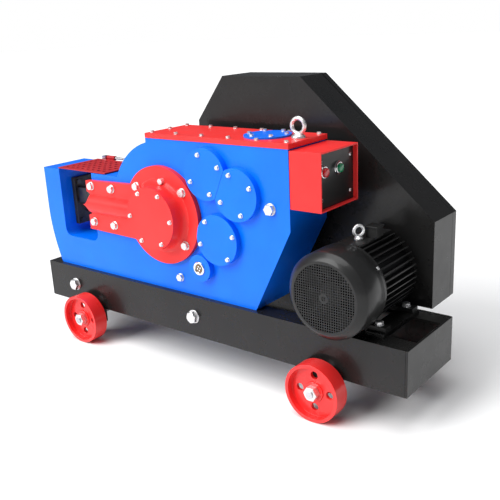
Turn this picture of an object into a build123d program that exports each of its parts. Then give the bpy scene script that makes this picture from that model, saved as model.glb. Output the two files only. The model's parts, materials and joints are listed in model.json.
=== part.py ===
from build123d import *
import math
import os

# Rebar cutter, all sizes in millimetres. X runs along the base frame, Y from the operator's side to the
# belt side, Z up from the floor. Shapes are drawn about the base frame's mid plane (y = 0) and moved by
# FRAME_SHIFT when they are written, so that the origin lies under the middle of the whole machine.

# ---- driving dimensions: running gear and base frame ----
WHEEL_R = 76.0
WHEEL_WIDTH = 46.0
WHEEL_RIM = 9.0
WHEEL_WEB = 10.0
WHEEL_HUB_R = 26.0
WHEEL_HUB_INSET = 14.0
WHEEL_HOLES = 4
WHEEL_HOLE_R = 10.0
WHEEL_HOLE_PCR = 43.0
WHEEL_FRONT_Y = 183.0
WHEEL_LEFT_X = -447.0
WHEEL_RIGHT_X = 424.0
AXLE_R = 10.0
AXLE_END_Y = 190.0
AXLE_STUB = 3.0
NUT_SCALE = 1.6
AXLE_DROP = 28.0
RUN_GAP = 0.06
SIDE_PLAY = 0.5
WASHER_THICK = 3.0
WASHER_LIP = 9.0
BASE_LENGTH = 1300.0
BASE_WIDTH = 244.0
BASE_HEIGHT = 118.0
BASE_FLANGE = 56.0
BASE_WEB = 6.0
END_PLATE = 6.0
ANCHOR_R = 9.0
ANCHOR_X = 560.0
CROSS_X = (-540.0, -250.0, 60.0)
CROSS_WIDTH = 60.0
CROSS_HEIGHT = 50.0
BRACKET_WIDTH = 90.0
BRACKET_THICK = 14.0
BRACKET_LIP = 10.0
FRAME_BOLT_X = (-522.0, -7.0)
FRAME_BOLT_R = 10.0
HEAD_SCALE = 1.75
HEAD_HEIGHT = 1.3
BOLT_WASHER = 1.5
BOLT_WASHER_SCALE = 1.12

# ---- driving dimensions: casing ----
CASING_FRONT = -107.0
CASING_BACK = 57.0
PLATE = 20.0
RIM = 10.0
CASING_LEFT = -636.0
CASING_RIGHT = 325.0
CASING_HEIGHT = 434.0
NOSE_FOOT = 38.0
NOSE_BULGE = 12.0
NOSE_BULGE_HEIGHT = 80.0
NOSE_DROP = 130.0
SHOULDER_R = 205.0
SHOULDER_MIDDLE = 127.0
SLOPE_RUN = 118.0
SLOPE_HEIGHT = 230.0
POST_HEIGHT = 312.0
MOUTH_LEFT = -560.0
MOUTH_RIGHT = -405.0
MOUTH_FLOOR = 97.0
MOUTH_CORNER = 25.0
MOUTH_BRIDGE = 14.0
LEDGE_X = -290.0
TOP_LEFT_X = -157.0
LID_THICK = 13.0
LID_OVERHANG = 3.0
LID_BOLTS = 6
LID_BOLT_INSET = 15.0
SMALL_BOLT_R = 3.2
SMALL_BOLT_GRIP = 12.0
INSPECT_X = 205.0
INSPECT_R = 62.0
INSPECT_THICK = 5.0
INSPECT_BOLTS = 6
INSPECT_BOLT_INSET = 11.0
INSPECT_LEDGE = 22.0
EYE_X = 299.0
EYE_SHANK_R = 8.0
EYE_RING_R = 18.5
EYE_WIRE_R = 5.0
EYE_COLLAR_SCALE = 2.2
EYE_COLLAR_HEIGHT = 0.8
EYE_NECK_SCALE = 1.3
EYE_NECK_HEIGHT = 1.5
PLUG_RIGHT = 58.0
PLUG_HEIGHT = 281.0
PLUG_R = 8.0
DRAIN_X = -60.0
DRAIN_HEIGHT = 44.0
DRAIN_R = 6.0

# ---- driving dimensions: gear train ----
CRANK_X = -105.0
CRANK_HEIGHT = 222.0
THROW = 20.0
PINION_TEETH = 15
CRANK_GEAR = dict(module=6.0, teeth=54)
SECOND_GEAR = dict(module=5.0, teeth=44)
FIRST_GEAR = dict(module=4.0, teeth=40)
ANGLE_C = -11.8
ANGLE_B = 61.1
ANGLE_A = 156.3
BACKLASH = 0.35
PRESSURE = 20.0
ADDENDUM = 0.75
DEDENDUM = 1.0
CRANK_GEAR_WIDTH = 36.0
CRANK_GEAR_GAP = 1.0
SECOND_GEAR_Y = (-38.0, -12.0)
FIRST_GEAR_Y = (-72.0, -52.0)
SHAFT_A_R = 17.5
SHAFT_B_R = 20.0
SHAFT_C_R = 25.0
CRANK_R = 30.0
BEARING_A_R = 40.0
BEARING_B_R = 42.5
BEARING_C_R = 45.0
SHAFT_END_GAP = 1.0
SHAFT_REAR_GAP = 3.0
GEAR_STEPS = 4
PINION_EXTRA = 1.0
GEAR_RIM = 3.2
GEAR_HUB = 1.7
GEAR_RECESS = 0.25
GEAR_HOLES = 6
GEAR_HOLE_SCALE = 0.3
CRANK_COLLAR = 6.0
ECCENTRIC_LIP = 2.0
ECCENTRIC_SIDE = 4.0
CRANK_SHAFT_INSET = 18.0
BUSH_FRONT = 34.0

# ---- driving dimensions: ram and blades ----
ROD_LENGTH = 190.0
ROD_THICK = 24.0
RAM_SIDE_GAP = 3.0
WRIST_R = 13.0
EYE_R = 24.0
BIG_END_WALL = 15.0
RAM_THICK = 52.0
RAM_HALF = 46.0
RAM_NOSE = -440.0
BLADE_LENGTH = 22.0
BLADE_OPENING = 36.0
BLADE_GAP = 1.0
FORK_GAP = 1.5
ROD_WAIST = 0.75
PIN_INSET = 2.0
PIN_PLAY = 1.0
RAM_TAIL = 18.0
FORK_WALL = 4.0
WINDOW_PLAY = 1.0
STROKE = 2 * THROW
GUIDE_THICK = 14.0
GUIDE_END = 40.0
BLADE_HALF = 35.0
BLADE_SCREW_Z = 20.0
BLADE_SCREW_R = 5.0
BLADE_SCREW_DEPTH = 8.0
FIXED_BLADE_THICK = 22.0
FIXED_BLADE_HALF = 24.0
SEAT_THICK = 16.0
SEAT_Y = (-64.0, 50.0)
SEAT_DOWN = 97.0
SEAT_UP = 54.0
SEAT_HOLE_R = 46.0
SEAT_BACK = 3.0
SEAT_BOLT_INSET = 13.0
SEAT_BOLT_R = 7.0
SEAT_BOLT_HEAD = 7.0

# ---- driving dimensions: crank cover and bearing covers ----
FLANGE_R = 139.0
FLANGE_THICK = 15.0
FLANGE_BOLT_R = 6.5
FLANGE_BOLT_PCR = 115.0
FLANGE_BOLT_ANGLE = 40.0
ARM_BOLT_X = (24.0, 114.0)
ARM_BOLT_Z = 55.0
BOSS_R = 88.0
BOSS_DEPTH = 58.0
BOSS_CAVITY = 44.0
BOSS_FLARE = 4.0
BOSS_WALL = 12.0
CAP_BOLTS = 6
CAP_BOLT_PCR = 77.0
ARM_LEFT = -416.0
ARM_UP = 70.0
ARM_DOWN = 80.0
ARM_UP_INNER = 80.0
ARM_DOWN_INNER = 86.0
RIDGE_R = 30.0
RIDGE_SINK = 10.0
RIDGE_SHARE = 0.62
BITE_R = 18.0
BITE_Z = 18.0
GREASE_PCR = 101.0
GREASE_ANGLE = 80.0
GREASE_R = 5.0
GREASE_LIP = 3.0
GREASE_DEPTH = 6.0
COVER_R = 69.0
COVER_DEPTH = 18.0
COVER_POCKET_R = 30.0
COVER_FACE = 8.0
COVER_GAP = 0.5
COVER_BOLT_PCR = 53.0
COVER_BOLT_ANGLES = (108.0, 25.0, -71.0, -155.0)
LOW_COVER_BOLT_PCR = 59.0
LOW_COVER_BOLT_ANGLES = (127.0, 17.0, -52.0, -163.0)
SIGHT_X = 30.0
SIGHT_HEIGHT = 91.0
SIGHT_BOSS_R = 38.0
SIGHT_R = 15.0
SIGHT_RING = 4.0

# ---- driving dimensions: hand guard ----
GUARD_LEFT = -563.0
GUARD_RIGHT = -345.0
GUARD_BACK = 72.0
GUARD_SHEET = 3.0
GUARD_ROWS = 6
GUARD_COLUMNS = 8
GUARD_OVERLAP = 1.0
GUARD_BACK_GAP = 2.0
SLOT_LENGTH = 17.0
SLOT_WIDTH = 11.0
HINGE_R = 4.0
KNUCKLE_WALL = 3.0
STRAP_LAP = 4.0
HINGE_END = 20.0
LUG_WALL = 2.0
LUG_DROP = 30.0

# ---- driving dimensions: control box ----
BOX_LENGTH = 90.0
BOX_FRONT = -105.0
BOX_BACK = 63.0
BOX_HEIGHT = 143.0
BOX_DROP = 4.0
BOX_SHEET = 4.0
PANEL_THICK = 3.0
PANEL_RECESS = 12.0
BUTTON_R = 11.0
BUTTON_TRAVEL = 4.0
BUTTON_HEIGHT = 22.0
BUTTON_REAR = 14.0
BUTTON_PROUD = 3.0
BEZEL_HEIGHT = 7.0
BEZEL_NECK = 3.0
BEZEL_LIP = 5.0
BEZEL_PLAY = 0.4
CONTACT_DEPTH = 30.0
CONTACT_BORE = 20.0
PANEL_SCREW_R = 2.5
PANEL_HEAD_R = 5.0
PANEL_HEAD = 3.0
BUTTON_Y = (-79.0, -13.0)
PANEL_SCREW_Y = 65.0
PANEL_SCREW_Z = 45.0
GLAND_INSET = 21.0
GLAND_R = 10.0
GLAND_HOLE_R = 6.5
GLAND_NUT_LIP = 6.0
GLAND_NUT = 8.0
GLAND_TAIL = 22.0
GLAND_TAIL_LIP = 2.0
GLAND_INNER = 8.0

# ---- driving dimensions: motor (shaft height 100 frame) ----
MOTOR_X = 468.0
MOTOR_SHAFT_HEIGHT = 100.0
MOTOR_FEET_X = 160.0
MOTOR_FEET_Y = 140.0
MOTOR_FEET_MID = 2.0
MOTOR_FOOT_HOLE_R = 6.0
MOTOR_FRONT = -185.0
MOTOR_SHOULDER = 135.0
MOTOR_SHAFT_END = 195.0
MOTOR_SHAFT_R = 14.0
FRAME_BELOW_COWL = 6.0
FIN_HEIGHT = 14.0
FIN_COUNT = 40
FIN_THICK = 3.0
FIN_SINK = 2.0
FOOT_FIN_SPAN = (225.0, 315.0)
PAD_FIN_SPAN = (74.0, 106.0)
PAD_HALF = 30.0
FRAME_WALL = 8.0
FRAME_FRONT = -74.0
FRAME_BACK = 82.4
FOOT_HALF = 24.0
FOOT_INNER = 40.0
FOOT_HALF_Y = 14.0
FOOT_THICK = 12.0
FOOT_RIB_INNER = 16.0
FOOT_RIB_HALF = 6.0
FOOT_RIB_HEIGHT = 64.0
SHIELD_STEP = 10.0
SHIELD_NECK_R = 40.0
SHIELD_TAPER = 22.0
SHIELD_GAP = 6.0
COWL_CLEARANCE = 4.0
COWL_BACK = -88.0
COWL_WALL = 3.0
COWL_CHAMFER = 12.0
COWL_TAPER = 8.0
COWL_BAND = 6.0
SLOT_INSETS = (74.0, 58.0, 42.0, 26.0)
SLOT_HALF = 4.0
SPOKE_WIDTH = 8.0
TERMINAL_X = (8.0, 38.0)
TERMINAL_Y = (-6.0, 26.0)
TERMINAL_HEIGHT = 24.0
TERMINAL_LID = 5.0
TERMINAL_LIP = 2.0
MOTOR_EYE_RING_R = 12.5
MOTOR_EYE_WIRE_R = 4.0
ROTOR_AIR = 14.0
ROTOR_END = 16.0
ROTOR_FRONT = 70.0
FAN_SPAN = (-154.0, -124.0)
FAN_HUB_R = 30.0
FAN_GAP = 16.0
FAN_DISC = 3.0
FAN_BLADES = 8
FAN_BLADE = 4.0
MOTOR_EYE_Y = -26.0
MOTOR_EYE_TURN = 55.0
MOTOR_EYE_R = 5.0
MOTOR_EYE_DEPTH = 6.0
RAIL_WIDTH = 50.0
RAIL_THICK = 12.0
RAIL_INSET = 30.0

# ---- driving dimensions: belt drive and its guard ----
BELT_COUNT = 3
BELT_PITCH = 19.0
BELT_TOP = 16.0
BELT_DEPTH = 10.0
BELT_LIFT = 1.0
BELT_CLEAR = 0.6
GROOVE_DEEP = 3.0
GROOVE_SIDE = 1.0
BAND_EDGE = 4.0
FLYWHEEL_R = 193.0
FLYWHEEL_RIM = 36.0
FLYWHEEL_HUB_R = 42.0
FLYWHEEL_ARMS = 5
ARM_THICK = 24.0
ARM_WIDTH = 34.0
ARM_ENDS = 30.0
MOTOR_PULLEY_R = 63.0
GUARD_FRONT = 108.4
GUARD_REAR = 237.0
GUARD_WALL = 2.5
GUARD_SEAM = 24.0
GUARD_BORE_GAP = 12.0
GUARD_MOTOR_R = 44.0
GUARD_SIDE = 218.0
GUARD_END = 133.0
GUARD_RISE = 148.0
GUARD_LIFT = 14.0
GUARD_LOW_CORNER = (250.0, 120.0)
GUARD_TOP_CORNER = (100.0, 128.0)
GUARD_TOP_LENGTH = 365.0
GUARD_SLOPE_DROP = 342.0
GUARD_FOOT_X = 40.0
GUARD_FOOT_HALF = 25.0
GUARD_FOOT_SHEET = 6.0
GUARD_FOOT_HEIGHT = 40.0

# ---- positions worked out from the driving dimensions ----
AXLE_Z = WHEEL_R
BASE_Z = AXLE_Z + AXLE_DROP
TOP_Z = BASE_Z + BASE_HEIGHT
CASING_TOP = TOP_Z + CASING_HEIGHT
POST_TOP = TOP_Z + POST_HEIGHT
FLOOR_Z = TOP_Z + MOUTH_FLOOR
CRANK_Z = TOP_Z + CRANK_HEIGHT
CASING_MID = (CASING_FRONT + CASING_BACK) / 2
INSIDE_FRONT = CASING_FRONT + PLATE
INSIDE_BACK = CASING_BACK - PLATE
FRAME_SHIFT = (AXLE_END_Y - GUARD_REAR) / 2
CRANK_GEAR_Y = (INSIDE_BACK - CRANK_GEAR_GAP - CRANK_GEAR_WIDTH, INSIDE_BACK - CRANK_GEAR_GAP)
ROD_Y = INSIDE_FRONT + RAM_SIDE_GAP + RAM_THICK / 2
RAM_FRONT = ROD_Y - RAM_THICK / 2
RAM_BACK = ROD_Y + RAM_THICK / 2
MOTOR_Z = TOP_Z + RAIL_THICK + MOTOR_SHAFT_HEIGHT
COWL_R = MOTOR_SHAFT_HEIGHT + RAIL_THICK - COWL_CLEARANCE
FRAME_FIN_R = COWL_R - FRAME_BELOW_COWL
FRAME_ROOT_R = FRAME_FIN_R - FIN_HEIGHT
PULLEY_Y = (MOTOR_SHOULDER + MOTOR_SHAFT_END) / 2
BELT_BAND = (BELT_COUNT - 1) * BELT_PITCH + BELT_TOP + 2 * BAND_EDGE
GUARD_Z = POST_TOP + GUARD_BACK_GAP


def polar(radius, degrees):
    angle = math.radians(degrees)
    return (radius * math.cos(angle), radius * math.sin(angle))


def mesh_distance(gear):
    return gear["module"] * (gear["teeth"] + PINION_TEETH) / 2


def stage(start, gear, degrees):
    step = polar(mesh_distance(gear), degrees)
    return (start[0] + step[0], start[1] + step[1])


AXIS_D = (CRANK_X, CRANK_Z)
AXIS_C = stage(AXIS_D, CRANK_GEAR, ANGLE_C)
AXIS_B = stage(AXIS_C, SECOND_GEAR, ANGLE_B)
AXIS_A = stage(AXIS_B, FIRST_GEAR, ANGLE_A)
PIN_X = CRANK_X + THROW
WRIST_X = PIN_X - ROD_LENGTH


# ---- basic shapes ----
def block(x0, x1, y0, y1, z0, z1):
    middle = ((x0 + x1) / 2, (y0 + y1) / 2, (z0 + z1) / 2)
    return Pos(*middle) * Box(abs(x1 - x0), abs(y1 - y0), abs(z1 - z0))


def disc(x, z, radius, y0, y1):
    """Cylinder about an axis along Y."""
    return Pos(x, (y0 + y1) / 2, z) * Rot(90, 0, 0) * Cylinder(radius, abs(y1 - y0))


def cone(x, z, radius0, radius1, y0, y1):
    """Cone about an axis along Y, radius0 at y0 and radius1 at y1, where y1 is greater than y0."""
    return Pos(x, (y0 + y1) / 2, z) * Rot(-90, 0, 0) * Cone(radius0, radius1, y1 - y0)


def post(x, y, radius, z0, z1):
    return Pos(x, y, (z0 + z1) / 2) * Cylinder(radius, z1 - z0)


def peg(y, z, radius, x0, x1):
    """Cylinder about an axis along X."""
    return Pos((x0 + x1) / 2, y, z) * Rot(0, 90, 0) * Cylinder(radius, abs(x1 - x0))


def slab(outline, y0, y1):
    """Closed outline in X and Z, given as a face on the XZ plane, made solid between y0 and y1."""
    return Pos(0, y0, 0) * extrude(outline, y1 - y0, dir=(0, 1, 0))


def outline_face(points):
    wire = Polyline(*[(x, 0, z) for x, z in points], close=True)
    return make_face(wire)


def merge(pieces):
    whole = pieces[0]
    for piece in pieces[1:]:
        whole = whole + piece
    return whole


def cut_all(body, tools):
    for tool in tools:
        body = body - tool
    return body


# ---- fasteners ----
def bolt_y(x, z, face_y, shank_r, grip):
    """Hex bolt with a washer under its head. The head stands out towards -Y from face_y."""
    head_r = HEAD_SCALE * shank_r
    seat_y = face_y - BOLT_WASHER
    washer = disc(x, z, head_r * BOLT_WASHER_SCALE, seat_y, face_y)
    head = Pos(x, seat_y, z) * Rot(90, 0, 0) * extrude(RegularPolygon(head_r, 6), HEAD_HEIGHT * shank_r)
    shank = disc(x, z, shank_r, seat_y, face_y + grip)
    return washer + head + shank


def bolt_z(x, y, face_z, shank_r, grip):
    """Hex bolt with a washer, its head upwards from face_z."""
    head_r = HEAD_SCALE * shank_r
    seat_z = face_z + BOLT_WASHER
    washer = post(x, y, head_r * BOLT_WASHER_SCALE, face_z, seat_z)
    head = Pos(x, y, seat_z) * extrude(RegularPolygon(head_r, 6), HEAD_HEIGHT * shank_r)
    shank = post(x, y, shank_r, face_z - grip, seat_z)
    return washer + head + shank


# ---- running gear ----
def wheel_shape(x, side):
    """Cast wheel, dished on its outer face. side is -1 at the front and +1 at the back."""
    outer = side * WHEEL_FRONT_Y
    inner = side * (WHEEL_FRONT_Y - WHEEL_WIDTH)
    web_outer = outer - side * (WHEEL_WIDTH - WHEEL_WEB) / 2
    web_inner = web_outer - side * WHEEL_WEB
    body = disc(x, AXLE_Z, WHEEL_R, min(outer, inner), max(outer, inner))
    dish_r = WHEEL_R - WHEEL_RIM
    dishes = [
        disc(x, AXLE_Z, dish_r, min(outer, web_outer), max(outer, web_outer)),
        disc(x, AXLE_Z, dish_r, min(inner, web_inner), max(inner, web_inner)),
    ]
    body = cut_all(body, dishes)
    hub_face = outer - side * WHEEL_HUB_INSET
    body = body + disc(x, AXLE_Z, WHEEL_HUB_R, min(hub_face, inner), max(hub_face, inner))
    low, high = min(outer, inner), max(outer, inner)
    for number in range(WHEEL_HOLES):
        dx, dz = polar(WHEEL_HOLE_PCR, 360 * number / WHEEL_HOLES)
        body = body - disc(x + dx, AXLE_Z + dz, WHEEL_HOLE_R, low, high)
    return body - disc(x, AXLE_Z, AXLE_R + RUN_GAP, low, high)


def axle(x):
    return disc(x, AXLE_Z, AXLE_R, -AXLE_END_Y, AXLE_END_Y)


def wheel_nut(x, side):
    """Washer and hex nut on the end of an axle, a little clear of the hub."""
    washer_in = WHEEL_FRONT_Y - WHEEL_HUB_INSET + SIDE_PLAY
    washer_out = washer_in + WASHER_THICK
    nut_out = AXLE_END_Y - AXLE_STUB
    washer = disc(x, AXLE_Z, AXLE_R + WASHER_LIP, side * washer_in, side * washer_out)
    washer = washer - disc(x, AXLE_Z, AXLE_R, side * washer_in, side * washer_out)
    prism = extrude(RegularPolygon(AXLE_R * NUT_SCALE, 6), nut_out - washer_out)
    nut = Pos(x, side * washer_out, AXLE_Z) * Rot(-90 * side, 0, 0) * prism
    nut = nut - disc(x, AXLE_Z, AXLE_R, side * washer_out, side * nut_out)
    return [washer, nut]


def axle_bracket(x, side):
    """Plate under the rail that carries the axle."""
    inner = side * (BASE_WIDTH / 2 - BRACKET_THICK)
    outer = side * BASE_WIDTH / 2
    low = AXLE_Z - AXLE_R - BRACKET_LIP
    plate = block(x - BRACKET_WIDTH / 2, x + BRACKET_WIDTH / 2, inner, outer, low, BASE_Z)
    collar_out = side * (WHEEL_FRONT_Y - WHEEL_WIDTH - SIDE_PLAY)
    collar = disc(x, AXLE_Z, AXLE_R + WASHER_LIP, outer, collar_out)
    return plate + collar - disc(x, AXLE_Z, AXLE_R, inner, collar_out)


# ---- base frame ----
def base_rail(side):
    """Channel rail with its flanges turned inwards and two anchor holes in the bottom flange."""
    outer = side * BASE_WIDTH / 2
    flange = side * (BASE_WIDTH / 2 - BASE_FLANGE)
    web = side * (BASE_WIDTH / 2 - BASE_WEB)
    half = BASE_LENGTH / 2 - END_PLATE
    body = block(-half, half, outer, flange, BASE_Z, TOP_Z)
    body = body - block(-half, half, web, flange, BASE_Z + BASE_WEB, TOP_Z - BASE_WEB)
    hole_y = side * (BASE_WIDTH / 2 - BASE_WEB - BASE_FLANGE / 2)
    for x in (-ANCHOR_X, ANCHOR_X):
        body = body - post(x, hole_y, ANCHOR_R, BASE_Z, BASE_Z + BASE_WEB)
    if side < 0:
        for x in FRAME_BOLT_X:
            body = body - disc(x, TOP_Z - BASE_HEIGHT / 2, FRAME_BOLT_R, outer, web)
    return body


def end_plate(side):
    outer = side * BASE_LENGTH / 2
    inner = side * (BASE_LENGTH / 2 - END_PLATE)
    half = BASE_WIDTH / 2
    return block(inner, outer, -half, half, BASE_Z, TOP_Z)


def cross_member(x):
    """Bar across the frame between the rail webs, under their top flanges."""
    half = BASE_WIDTH / 2 - BASE_WEB
    top = TOP_Z - BASE_WEB
    return block(x - CROSS_WIDTH / 2, x + CROSS_WIDTH / 2, -half, half, top - CROSS_HEIGHT, top)


def casing_seat(x):
    """Block that fills the gap between the flanges, so that the casing rests on a full-width seat."""
    half = BASE_WIDTH / 2 - BASE_FLANGE
    return block(x - CROSS_WIDTH / 2, x + CROSS_WIDTH / 2, -half, half, TOP_Z - BASE_WEB, TOP_Z)


def motor_rail(x):
    half = BASE_WIDTH / 2 - RAIL_INSET
    body = block(x - RAIL_WIDTH / 2, x + RAIL_WIDTH / 2, -half, half, TOP_Z, TOP_Z + RAIL_THICK)
    for side in (-1, 1):
        y = MOTOR_FEET_MID + side * MOTOR_FEET_Y / 2
        body = body - post(x, y, MOTOR_FOOT_HOLE_R, TOP_Z, TOP_Z + RAIL_THICK)
    return body


def frame_bolts():
    web_y = -BASE_WIDTH / 2
    return [bolt_y(x, TOP_Z - BASE_HEIGHT / 2, web_y, FRAME_BOLT_R, BASE_WEB) for x in FRAME_BOLT_X]


# ---- casing ----
def shoulder_height(x):
    """Height of the round shoulder at x."""
    return CRANK_Z + math.sqrt(SHOULDER_R ** 2 - (x - CRANK_X) ** 2)


def casing_curve():
    """Outer outline of the casing as a closed face: nose, post, shoulder arc, lid seat and sloping end."""
    nose_low = (CASING_LEFT + NOSE_FOOT, 0, TOP_Z)
    nose_mid = (CASING_LEFT + NOSE_BULGE, 0, TOP_Z + NOSE_BULGE_HEIGHT)
    nose_high = (CASING_LEFT, 0, POST_TOP - NOSE_DROP)
    ledge = (LEDGE_X, 0, shoulder_height(LEDGE_X))
    lid_corner = (TOP_LEFT_X, 0, shoulder_height(TOP_LEFT_X))
    dx, dz = polar(SHOULDER_R, SHOULDER_MIDDLE)
    corners = [
        nose_high, (CASING_LEFT, 0, POST_TOP), (LEDGE_X, 0, POST_TOP), ledge,
        lid_corner, (TOP_LEFT_X, 0, CASING_TOP), (CASING_RIGHT, 0, CASING_TOP),
        (CASING_RIGHT, 0, TOP_Z + SLOPE_HEIGHT), (CASING_RIGHT - SLOPE_RUN, 0, TOP_Z), nose_low,
    ]
    edges = [
        ThreePointArc(nose_low, nose_mid, nose_high),
        ThreePointArc(ledge, (CRANK_X + dx, 0, CRANK_Z + dz), lid_corner),
    ]
    for start, end in zip(corners, corners[1:]):
        if start != ledge:
            edges.append(Line(start, end))
    return make_face(edges)


def mouth_tool(y0, y1, grow=0.0):
    """The U-shaped cutting mouth, open at the top. grow moves its walls outwards."""
    low = FLOOR_Z - grow
    left = MOUTH_LEFT - grow
    right = MOUTH_RIGHT + grow
    corner = MOUTH_CORNER + grow
    body = block(left, right, y0, y1, low + corner, POST_TOP + 1)
    body = body + block(left + corner, right - corner, y0, y1, low, low + corner)
    for x in (left + corner, right - corner):
        body = body + disc(x, low + corner, corner, y0, y1)
    return body


def shaft_places():
    """Axis, shaft radius and bearing radius of the three gear shafts."""
    return (
        (AXIS_A, SHAFT_A_R, BEARING_A_R),
        (AXIS_B, SHAFT_B_R, BEARING_B_R),
        (AXIS_C, SHAFT_C_R, BEARING_C_R),
    )


def ram_window(y0, y1):
    """Channel behind the cover's arm that the ram's front face shows in."""
    low, high = CRANK_Z - RAM_HALF + PIN_INSET, CRANK_Z + RAM_HALF - PIN_INSET
    return block(MOUTH_RIGHT - WINDOW_PLAY, WRIST_X + EYE_R, y0, y1, low, high)


def casing_front():
    body = slab(casing_curve(), CASING_FRONT, INSIDE_FRONT)
    body = body - mouth_tool(CASING_FRONT - 1, INSIDE_FRONT + 1)
    body = body - ram_window(CASING_FRONT - 1, INSIDE_FRONT + 1)
    for axis, _, bore in shaft_places():
        body = body - disc(*axis, bore, CASING_FRONT, INSIDE_FRONT)
    body = body - disc(CRANK_X, CRANK_Z, BOSS_CAVITY, CASING_FRONT, INSIDE_FRONT)
    boss = disc(SIGHT_X, TOP_Z + SIGHT_HEIGHT, SIGHT_BOSS_R, CASING_FRONT - COVER_DEPTH, CASING_FRONT)
    body = body + boss
    body = body - disc(SIGHT_X, TOP_Z + SIGHT_HEIGHT, SIGHT_R, CASING_FRONT - COVER_DEPTH, INSIDE_FRONT)
    for x, z, radius in plug_places():
        body = body - disc(x, z, radius, CASING_FRONT, INSIDE_FRONT)
    for x, z in crank_bolt_places():
        body = body - disc(x, z, FLANGE_BOLT_R, CASING_FRONT, INSIDE_FRONT)
    for x, z in cover_bolt_places():
        body = body - disc(x, z, SMALL_BOLT_R, CASING_FRONT, CASING_FRONT + SMALL_BOLT_GRIP)
    return body


def casing_rear():
    """Rear plate, which bridges the top of the mouth with a narrow band."""
    body = slab(casing_curve(), INSIDE_BACK, CASING_BACK)
    band = block(MOUTH_LEFT, MOUTH_RIGHT, INSIDE_BACK, CASING_BACK, POST_TOP - MOUTH_BRIDGE, POST_TOP)
    body = body - mouth_tool(INSIDE_BACK - 1, CASING_BACK + 1) + band
    for axis, _, bore in shaft_places():
        body = body - disc(*axis, bore, INSIDE_BACK, CASING_BACK)
    return body - disc(*AXIS_D, BOSS_CAVITY, INSIDE_BACK, CASING_BACK)


def casing_rim():
    """Strip that closes the casing all round between its two plates."""
    outer = slab(casing_curve(), INSIDE_FRONT, INSIDE_BACK)
    inner = slab(offset(casing_curve(), -RIM), INSIDE_FRONT, INSIDE_BACK)
    lip = block(TOP_LEFT_X, CASING_RIGHT, INSIDE_FRONT, INSIDE_BACK, CASING_TOP - RIM, CASING_TOP)
    opening = block(
        TOP_LEFT_X + 2 * RIM, CASING_RIGHT - 2 * RIM,
        INSIDE_FRONT + RIM, INSIDE_BACK - RIM, CASING_TOP - RIM, CASING_TOP,
    )
    body = outer - inner + lip - opening
    return body - mouth_tool(INSIDE_FRONT, INSIDE_BACK, grow=RIM)


def mouth_lining():
    """Bent plate that lines the mouth, with the window that the ram comes through."""
    body = mouth_tool(INSIDE_FRONT, INSIDE_BACK, grow=RIM) - mouth_tool(INSIDE_FRONT, INSIDE_BACK)
    body = body & block(MOUTH_LEFT - RIM, MOUTH_RIGHT + RIM, INSIDE_FRONT, INSIDE_BACK, TOP_Z, POST_TOP)
    play = WINDOW_PLAY
    window = block(
        MOUTH_RIGHT - play, MOUTH_RIGHT + RIM + play,
        RAM_FRONT - play, RAM_BACK + play, CRANK_Z - RAM_HALF - play, CRANK_Z + RAM_HALF + play,
    )
    return body - window


def lid_edges():
    left = TOP_LEFT_X + LID_OVERHANG
    right = CASING_RIGHT + LID_OVERHANG
    return left, right, CASING_FRONT - LID_OVERHANG, CASING_BACK + LID_OVERHANG


def lid_bolt_places():
    left, right, front, back = lid_edges()
    first = left + LID_BOLT_INSET
    last = right - LID_BOLT_INSET
    step = (last - first) / (LID_BOLTS - 1)
    rows = (front + LID_BOLT_INSET, back - LID_BOLT_INSET)
    places = [(first + step * number, y) for number in range(LID_BOLTS) for y in rows]
    return places + [(first, CASING_MID)]


def inspection_bolt_places():
    places = []
    for number in range(INSPECT_BOLTS):
        dx, dy = polar(INSPECT_R - INSPECT_BOLT_INSET, 360 * (number + 0.25) / INSPECT_BOLTS)
        places.append((INSPECT_X + dx, CASING_MID + dy))
    return places


def lid():
    left, right, front, back = lid_edges()
    body = block(left, right, front, back, CASING_TOP, CASING_TOP + LID_THICK)
    high = CASING_TOP + LID_THICK
    body = body - post(INSPECT_X, CASING_MID, INSPECT_R - INSPECT_LEDGE, CASING_TOP, high)
    for x, y in lid_bolt_places() + inspection_bolt_places():
        body = body - post(x, y, SMALL_BOLT_R, CASING_TOP, high)
    return body - post(EYE_X, CASING_MID, EYE_SHANK_R, CASING_TOP, high)


def inspection_cover():
    low = CASING_TOP + LID_THICK
    body = post(INSPECT_X, CASING_MID, INSPECT_R, low, low + INSPECT_THICK)
    for x, y in inspection_bolt_places():
        body = body - post(x, y, SMALL_BOLT_R, low, low + INSPECT_THICK)
    return body


def lid_bolts():
    low = CASING_TOP + LID_THICK
    grip = INSPECT_THICK + LID_THICK
    bolts = [bolt_z(x, y, low, SMALL_BOLT_R, LID_THICK) for x, y in lid_bolt_places()]
    covers = [bolt_z(x, y, low + INSPECT_THICK, SMALL_BOLT_R, grip) for x, y in inspection_bolt_places()]
    return bolts + covers


def eye_bolt(x, y, z, shank_r, ring_r, wire_r, depth, turn=0.0):
    """Lifting eye: collar, shank and ring. The ring's plane is turned from X about the shank."""
    collar_top = z + EYE_COLLAR_HEIGHT * shank_r
    collar = post(x, y, EYE_COLLAR_SCALE * shank_r, z, collar_top)
    neck = post(x, y, EYE_NECK_SCALE * shank_r, z, collar_top + EYE_NECK_HEIGHT * wire_r)
    ring = Pos(x, y, collar_top + ring_r + wire_r) * Rot(0, 0, turn) * Rot(90, 0, 0) * Torus(ring_r, wire_r)
    return collar + neck + ring + post(x, y, shank_r, z - depth, z)


# ---- covers on the front ----
def crank_bolt_places():
    places = []
    angle = FLANGE_BOLT_ANGLE
    for degrees in (angle, -angle, 180 - angle, angle - 180):
        dx, dz = polar(FLANGE_BOLT_PCR, degrees)
        places.append((CRANK_X + dx, CRANK_Z + dz))
    for x in ARM_BOLT_X:
        places.extend([(ARM_LEFT + x, CRANK_Z + ARM_BOLT_Z), (ARM_LEFT + x, CRANK_Z - ARM_BOLT_Z)])
    return places


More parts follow.
